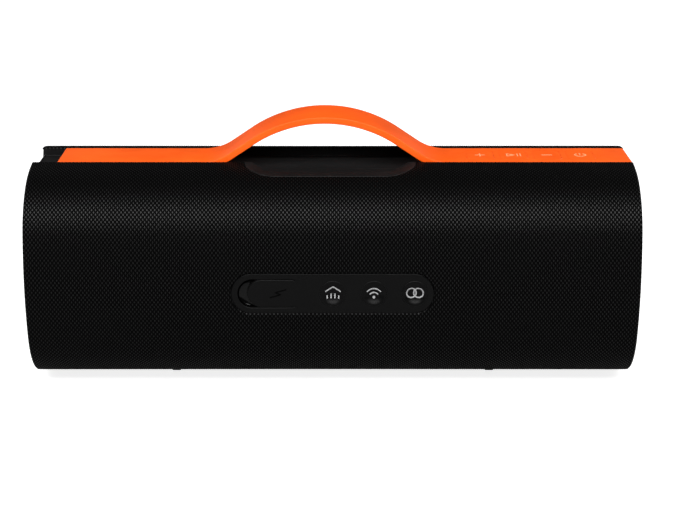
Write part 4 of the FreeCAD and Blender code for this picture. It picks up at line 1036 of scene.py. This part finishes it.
def button_profile(button, details):
    """Half section of a button, from the middle of its dish round to the tip of its stem."""
    outer = (high_of(button).x - low_of(button).x) / 2
    side = outer - details.button_flange
    reach = details.dish_reach
    dish = [(reach * k / 20, dish_depth(reach * k / 20, details)) for k in range(21)]
    lip = side + 0.08 * MM
    rim = [(lip - 0.1 * MM, 0.03 * MM), (lip - 0.02 * MM, 0.1 * MM), (lip, 0.2 * MM)]
    shoulder = details.button_depth
    thick = details.button_flange_depth
    stem = 1.5 * MM
    length = high_of(button).y - low_of(button).y
    back = [(lip, shoulder - 0.1 * MM), (side, shoulder), (side, shoulder + 0.2 * MM),
            (outer, shoulder + 0.2 * MM), (outer, shoulder + thick), (stem, shoulder + thick),
            (stem, length - 0.3 * MM), (stem - 0.3 * MM, length), (0.0, length)]
    return dish + rim + back


def finger_bowl(details):
    """The hollow left of the port cover, between the pocket's edge and the cover's rounded end."""
    panel_low, panel_high = low_of("rear_panel"), high_of("rear_panel")
    cover_low, cover_high = low_of("port_cover"), high_of("port_cover")
    middle_z = (panel_low.z + panel_high.z) / 2
    edge_radius = (cover_high.z - cover_low.z) / 2 + 0.1 * MM
    edge_x = details.pocket_left + edge_radius
    cover_radius = (cover_high.z - cover_low.z) / 2
    cover_x = cover_low.x + cover_radius
    depth = details.pocket_depth
    rows, steps = 48, 14
    front, back = [], []
    for j in range(rows + 1):
        rise = math.sin(math.pi * (j / rows - 0.5)) * cover_radius * 0.97
        start = edge_x - math.sqrt(edge_radius ** 2 - rise ** 2)
        end = cover_x - math.sqrt(cover_radius ** 2 - rise ** 2) - 0.15 * MM
        for i in range(steps + 1):
            share = i / steps
            x = start + max(0.02 * MM, end - start) * share
            sunk = (depth - 0.15 * MM) * math.sqrt(1 - (1 - share) ** 2) + 0.04 * MM
            front.append((x, panel_low.y + sunk, middle_z + rise))
            back.append((x, panel_low.y + depth, middle_z + rise))
    wide = steps + 1
    count = len(front)
    faces = []
    for j in range(rows):
        for i in range(steps):
            a = j * wide + i
            faces.append((a, a + 1, a + wide + 1, a + wide))
            faces.append((a + count, a + wide + count, a + wide + 1 + count, a + 1 + count))
        for a, b in ((j * wide, (j + 1) * wide), ((j + 1) * wide + steps, j * wide + steps)):
            faces.append((a, b, b + count, a + count))
    for i in range(steps):
        faces.append((i + 1, i, i + count, i + 1 + count))
        top = rows * wide + i
        faces.append((top, top + 1, top + 1 + count, top + count))
    return tidy_mesh(new_mesh("finger_bowl", front + back, faces), 60.0)


def cover_web(details):
    """Thin skin from the panel to the cover's right end."""
    low, high = low_of("port_cover"), high_of("port_cover")
    thick, proud = 0.2 * MM, 0.012 * MM
    first, last = high.x + details.web_width / 3, high.x - details.web_reach
    steps = 24
    points = [(first + (last - first) * k / steps, 0.0, 0.0) for k in range(steps + 1)]
    mesh = band(points, "cover_finish", (high.z - low.z) * 0.985, thick, proud)
    place = Vector((0.0, low.y + thick / 2 - proud, (high.z + low.z) / 2))
    start = Vector((first, place.y, place.z))
    end = Vector((high.x - details.web_width / 2, place.y, place.z))
    return tidy_mesh(placed(mesh, faces_rear(place))), start, end


def faces_rear(place):
    """Matrix that stands a flat sign on a face that looks to the rear."""
    return Matrix.Translation(place) @ Matrix.Rotation(math.pi / 2, 4, "X")


class SPEAKER_OT_panel(bpy.types.Operator):
    """Make the rear panel, its port cover, its three buttons and their signs"""
    bl_idname = "speaker.panel"
    bl_label = "Rear Panel"

    def execute(self, context):
        details = context.scene.speaker_details
        riding("rear_panel_front", panel_front(details), "panel_finish", "panel", SPEAKER, "rear_panel")
        pocket_back = low_of("rear_panel").y + details.pocket_depth

        def behind(shape):
            for vertex in shape.verts:
                vertex.co.y = max(vertex.co.y, pocket_back)
            bmesh.ops.remove_doubles(shape, verts=shape.verts, dist=MERGE)

        back = rounded_copy("rear_panel", 0.02 * MM, 1, behind)
        riding("rear_panel_back", back, "panel_finish", "panel", SPEAKER)
        low, high = low_of("port_cover"), high_of("port_cover")
        mesh = rounded_plate([((low.x, low.z), (high.x, high.z), details.edge_round)], low.y, high.y,
                             high.x - details.web_width / 2)
        riding("port_cover_flap", mesh, "cover_finish", "cover", "port_cover", "port_cover")
        riding("finger_bowl", finger_bowl(details), "bowl_finish", "panel", SPEAKER)
        mesh, right, left = cover_web(details)
        web = show("port_cover_web", mesh, "cover_finish", "cover")
        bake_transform(web)
        place = middle_of("port_cover") + Vector((1.0 * MM, 0.0, 0.0))
        place.y = low.y
        mesh = placed(sign_mesh("port_cover", details, "cover_sign"), faces_rear(place))
        mesh.shade_smooth()
        riding("port_cover_sign", mesh, "cover_sign", "cover", "port_cover")
        for button in BUTTONS:
            centre = Vector((middle_of(button).x, low_of(button).y, middle_of(button).z))
            mesh = placed(turned_mesh(button_profile(button, details)), Matrix.Translation(centre))
            riding(button + "_cap", mesh, "button_finish", "button", button, button)
            mesh = placed(sign_mesh(button, details, "button_sign_ink"), faces_rear(centre))
            for vertex in mesh.vertices:
                reach = math.hypot(vertex.co.x - centre.x, vertex.co.z - centre.z)
                vertex.co.y += dish_depth(reach, details)
            mesh.shade_smooth()
            riding(button + "_sign", mesh, "button_sign_ink", "button", button)
        return {"FINISHED"}


# ---- channel, feet and ends ----
class SPEAKER_OT_channel(bpy.types.Operator):
    """Make the channel under the strap, with its finger scoop"""
    bl_idname = "speaker.channel"
    bl_label = "Strap Channel"

    def execute(self, context):
        details = context.scene.speaker_details
        floor_z = STRAP_LOW.z - details.strap_lift

        def sink_floor(shape):
            """Leave room under the arch for the strap as it is pressed flat."""
            for vertex in shape.verts:
                if abs(vertex.co.z - floor_z) < 0.02 * MM:
                    vertex.co.z -= details.floor_room

        mesh = rounded_copy("handle_channel", 0.22 * MM, change=sink_floor)
        riding("strap_channel", mesh, "channel_finish", "channel", SPEAKER, "handle_channel")
        return {"FINISHED"}


class SPEAKER_OT_feet(bpy.types.Operator):
    """Make the two rubber feet and the treads under them"""
    bl_idname = "speaker.feet"
    bl_label = "Rubber Feet"

    def execute(self, context):
        count = context.scene.speaker_details.tread_count
        depth, margin = 0.5 * MM, 2.5 * MM

        def lift(shape):
            for vertex in shape.verts:
                vertex.co.z = max(vertex.co.z, depth)

        for foot in ("left_foot", "right_foot"):
            mesh = rounded_copy(foot, 0.3 * MM, 3, lift)
            riding(foot + "_runner", mesh, "foot_finish", "foot", SPEAKER, foot)
            low, high = low_of(foot), high_of(foot)
            pitch = (high.y - low.y - 2 * margin) / (count - 1)
            reach = (high.x - low.x) / 2 - 0.5 * MM
            mesh = grow("repeated_bars", "foot_finish", {
                "Count": count, "Step": (0.0, pitch, 0.0), "Turn": 0.0, "Bar Start": (-reach, 0.0, 0.0),
                "Bar End": (reach, 0.0, 0.0), "Width": pitch * 0.6, "Height": 2 * depth,
                "Edge Radius": 0.2 * MM})
            first = Vector(((low.x + high.x) / 2, low.y + margin, depth))
            treads = tidy_mesh(placed(mesh, Matrix.Translation(first)))
            riding(foot + "_treads", treads, "foot_finish", "foot", SPEAKER)
        return {"FINISHED"}


class SPEAKER_OT_ends(bpy.types.Operator):
    """Make the end caps, the radiators' rolls and plates, and the ribs on the plates"""
    bl_idname = "speaker.ends"
    bl_label = "End Caps"

    def execute(self, context):
        details = context.scene.speaker_details
        count = details.rib_count
        turn = Matrix.Rotation(math.pi / 2, 4, "Y")
        for side in ("left", "right"):
            cap, roll, cone = side + "_end_cap", side + "_radiator_surround", side + "_radiator_cone"
            for name, node, width, slot, body in (("_cap", cap, details.edge_round, "cap", SPEAKER),
                                                  ("_roll", roll, 0.15 * MM, "surround", SPEAKER),
                                                  ("_plate", cone, 0.15 * MM, "radiator", cone)):
                riding(side + name, rounded_copy(node, width), slot + "_finish", slot, body, node)
            face = high_of(cone).x if side == "right" else low_of(cone).x
            mesh = grow("repeated_bars", "radiator_finish", {
                "Count": count, "Step": (0.0, 0.0, 0.0), "Turn": 2 * math.pi / count,
                "Bar Start": (11.0 * MM, 0.0, 0.0), "Bar End": (22.5 * MM, 0.0, 0.0), "Width": 1.2 * MM,
                "Height": 1.0 * MM, "Edge Radius": 0.4 * MM})
            ribs = placed(mesh, Matrix.Translation(Vector((face, 0, middle_of(cone).z))) @ turn)
            riding(side + "_plate_ribs", tidy_mesh(ribs), "radiator_finish", "radiator", cone)
        return {"FINISHED"}


class SPEAKER_OT_finishes(bpy.types.Operator):
    """Make every material and put it on the CAD nodes"""
    bl_idname = "speaker.finishes"
    bl_label = "Finishes"

    def execute(self, context):
        make_finishes(context.scene)
        make_band_tree()
        make_bars_tree()
        return {"FINISHED"}


# ---- stage ----
def aimed(place, direction):
    """Matrix of a light or a camera that looks from a place in a direction."""
    return Matrix.Translation(place) @ direction.to_track_quat("-Z", "Y").to_matrix().to_4x4()


def soft_light(name, power, place, width, depth):
    """A softbox aimed at the barrel's middle."""
    data = bpy.data.lights.new(name, "AREA")
    data.shape = "RECTANGLE"
    data.size = width
    data.size_y = depth
    data.energy = power
    add_object(name, data).matrix_world = aimed(Vector(place), LIGHT_AIM - Vector(place))


class SPEAKER_OT_stage(bpy.types.Operator):
    """Make the floor, the soft lights, the backdrop's light and the camera"""
    bl_idname = "speaker.stage"
    bl_label = "Stage"

    def execute(self, context):
        scene, stage = context.scene, context.scene.speaker_stage
        material, tree, shader = start_material("pale_floor")
        place = tree.nodes.new("ShaderNodeTexCoord").outputs["Object"]
        tone = ramp(tree, noise(tree, place, 2.0, 2.0), 0.3, 0.7)
        paler = [min(1.0, channel + 0.03) for channel in stage.floor_colour[:3]] + [1.0]
        tree.links.new(mixed_colour(tree, tone, tuple(stage.floor_colour), paler), shader["Base Color"])
        shader["Roughness"].default_value = 0.9
        shader["Specular IOR Level"].default_value = 0.1
        seen = tree.nodes.new("ShaderNodeLightPath").outputs["Is Camera Ray"]
        tree.links.new(product(tree, seen, stage.floor_glow), shader["Emission Strength"])
        shader["Emission Color"].default_value = (1, 1, 1, 1)
        corners = [(x * FLOOR_REACH, y * FLOOR_REACH, 0) for x, y in ((-1, -1), (1, -1), (1, 1), (-1, 1))]
        mesh = new_mesh("floor", corners, [(0, 1, 2, 3)])
        mesh.materials.append(material)
        add_object("floor", mesh)
        soft_light("top_softbox", stage.top_light, (0.0, -0.95, 1.02), 1.9, 0.6)
        for name, side in (("left_softbox", -1.0), ("right_softbox", 1.0)):
            soft_light(name, stage.side_light, (1.15 * side, 0.8, 0.75), 1.0, 0.8)
        world = bpy.data.worlds.new("room")
        world.use_nodes = True
        tree = world.node_tree
        tree.nodes.clear()
        dim, bright = [put(tree, "ShaderNodeBackground", {"Color": (1, 1, 1, 1), "Strength": strength})
                       for strength in (stage.ambient, BACKDROP)]
        seen = tree.nodes.new("ShaderNodeLightPath").outputs["Is Camera Ray"]
        mix = put(tree, "ShaderNodeMixShader", {0: seen, 1: dim.outputs[0], 2: bright.outputs[0]})
        tree.links.new(mix.outputs[0], tree.nodes.new("ShaderNodeOutputWorld").inputs[0])
        scene.world = world
        scene.view_settings.view_transform = "Standard"
        data = bpy.data.cameras.new("camera")
        data.lens = stage.lens
        data.sensor_width = 36.0
        data.clip_start = 0.01
        away = Vector((0, -math.cos(stage.elevation), math.sin(stage.elevation))) * stage.distance
        scene.camera = add_object("camera", data)
        scene.camera.matrix_world = aimed(Vector(stage.aim) + away, -away)
        return {"FINISHED"}


class SPEAKER_PT_maker(bpy.types.Panel):
    """Lists the pieces of the speaker and their sizes"""
    bl_label = "Speaker Maker"
    bl_idname = "SPEAKER_PT_maker"
    bl_space_type = "VIEW_3D"
    bl_region_type = "UI"
    bl_category = "Speaker"

    def draw(self, context):
        for operator in OPERATORS:
            self.layout.operator(operator.bl_idname)
        for group in SETTINGS:
            box = self.layout.box()
            settings = getattr(context.scene, group)
            for name in settings.bl_rna.properties.keys():
                if name not in ("rna_type", "name"):
                    box.prop(settings, name)


SETTINGS = {"speaker_cloth": ClothSettings, "speaker_strap": StrapSettings, "speaker_details": DetailSettings,
            "speaker_stage": StageSettings}
OPERATORS = (SPEAKER_OT_finishes, SPEAKER_OT_stage, SPEAKER_OT_cloth, SPEAKER_OT_channel, SPEAKER_OT_strap,
             SPEAKER_OT_keys, SPEAKER_OT_panel, SPEAKER_OT_ends, SPEAKER_OT_feet)


def register():
    for kind in (*SETTINGS.values(), *OPERATORS, SPEAKER_PT_maker):
        bpy.utils.register_class(kind)
    for name, kind in SETTINGS.items():
        setattr(bpy.types.Scene, name, PointerProperty(type=kind))


def unregister():
    for name in SETTINGS:
        delattr(bpy.types.Scene, name)
    for kind in reversed((*SETTINGS.values(), *OPERATORS, SPEAKER_PT_maker)):
        bpy.utils.unregister_class(kind)


def main():
    register()
    for make in ("finishes", "stage", "cloth", "channel", "strap", "keys", "panel", "ends", "feet"):
        getattr(bpy.ops.speaker, make)()


if __name__ == "__main__":
    main()
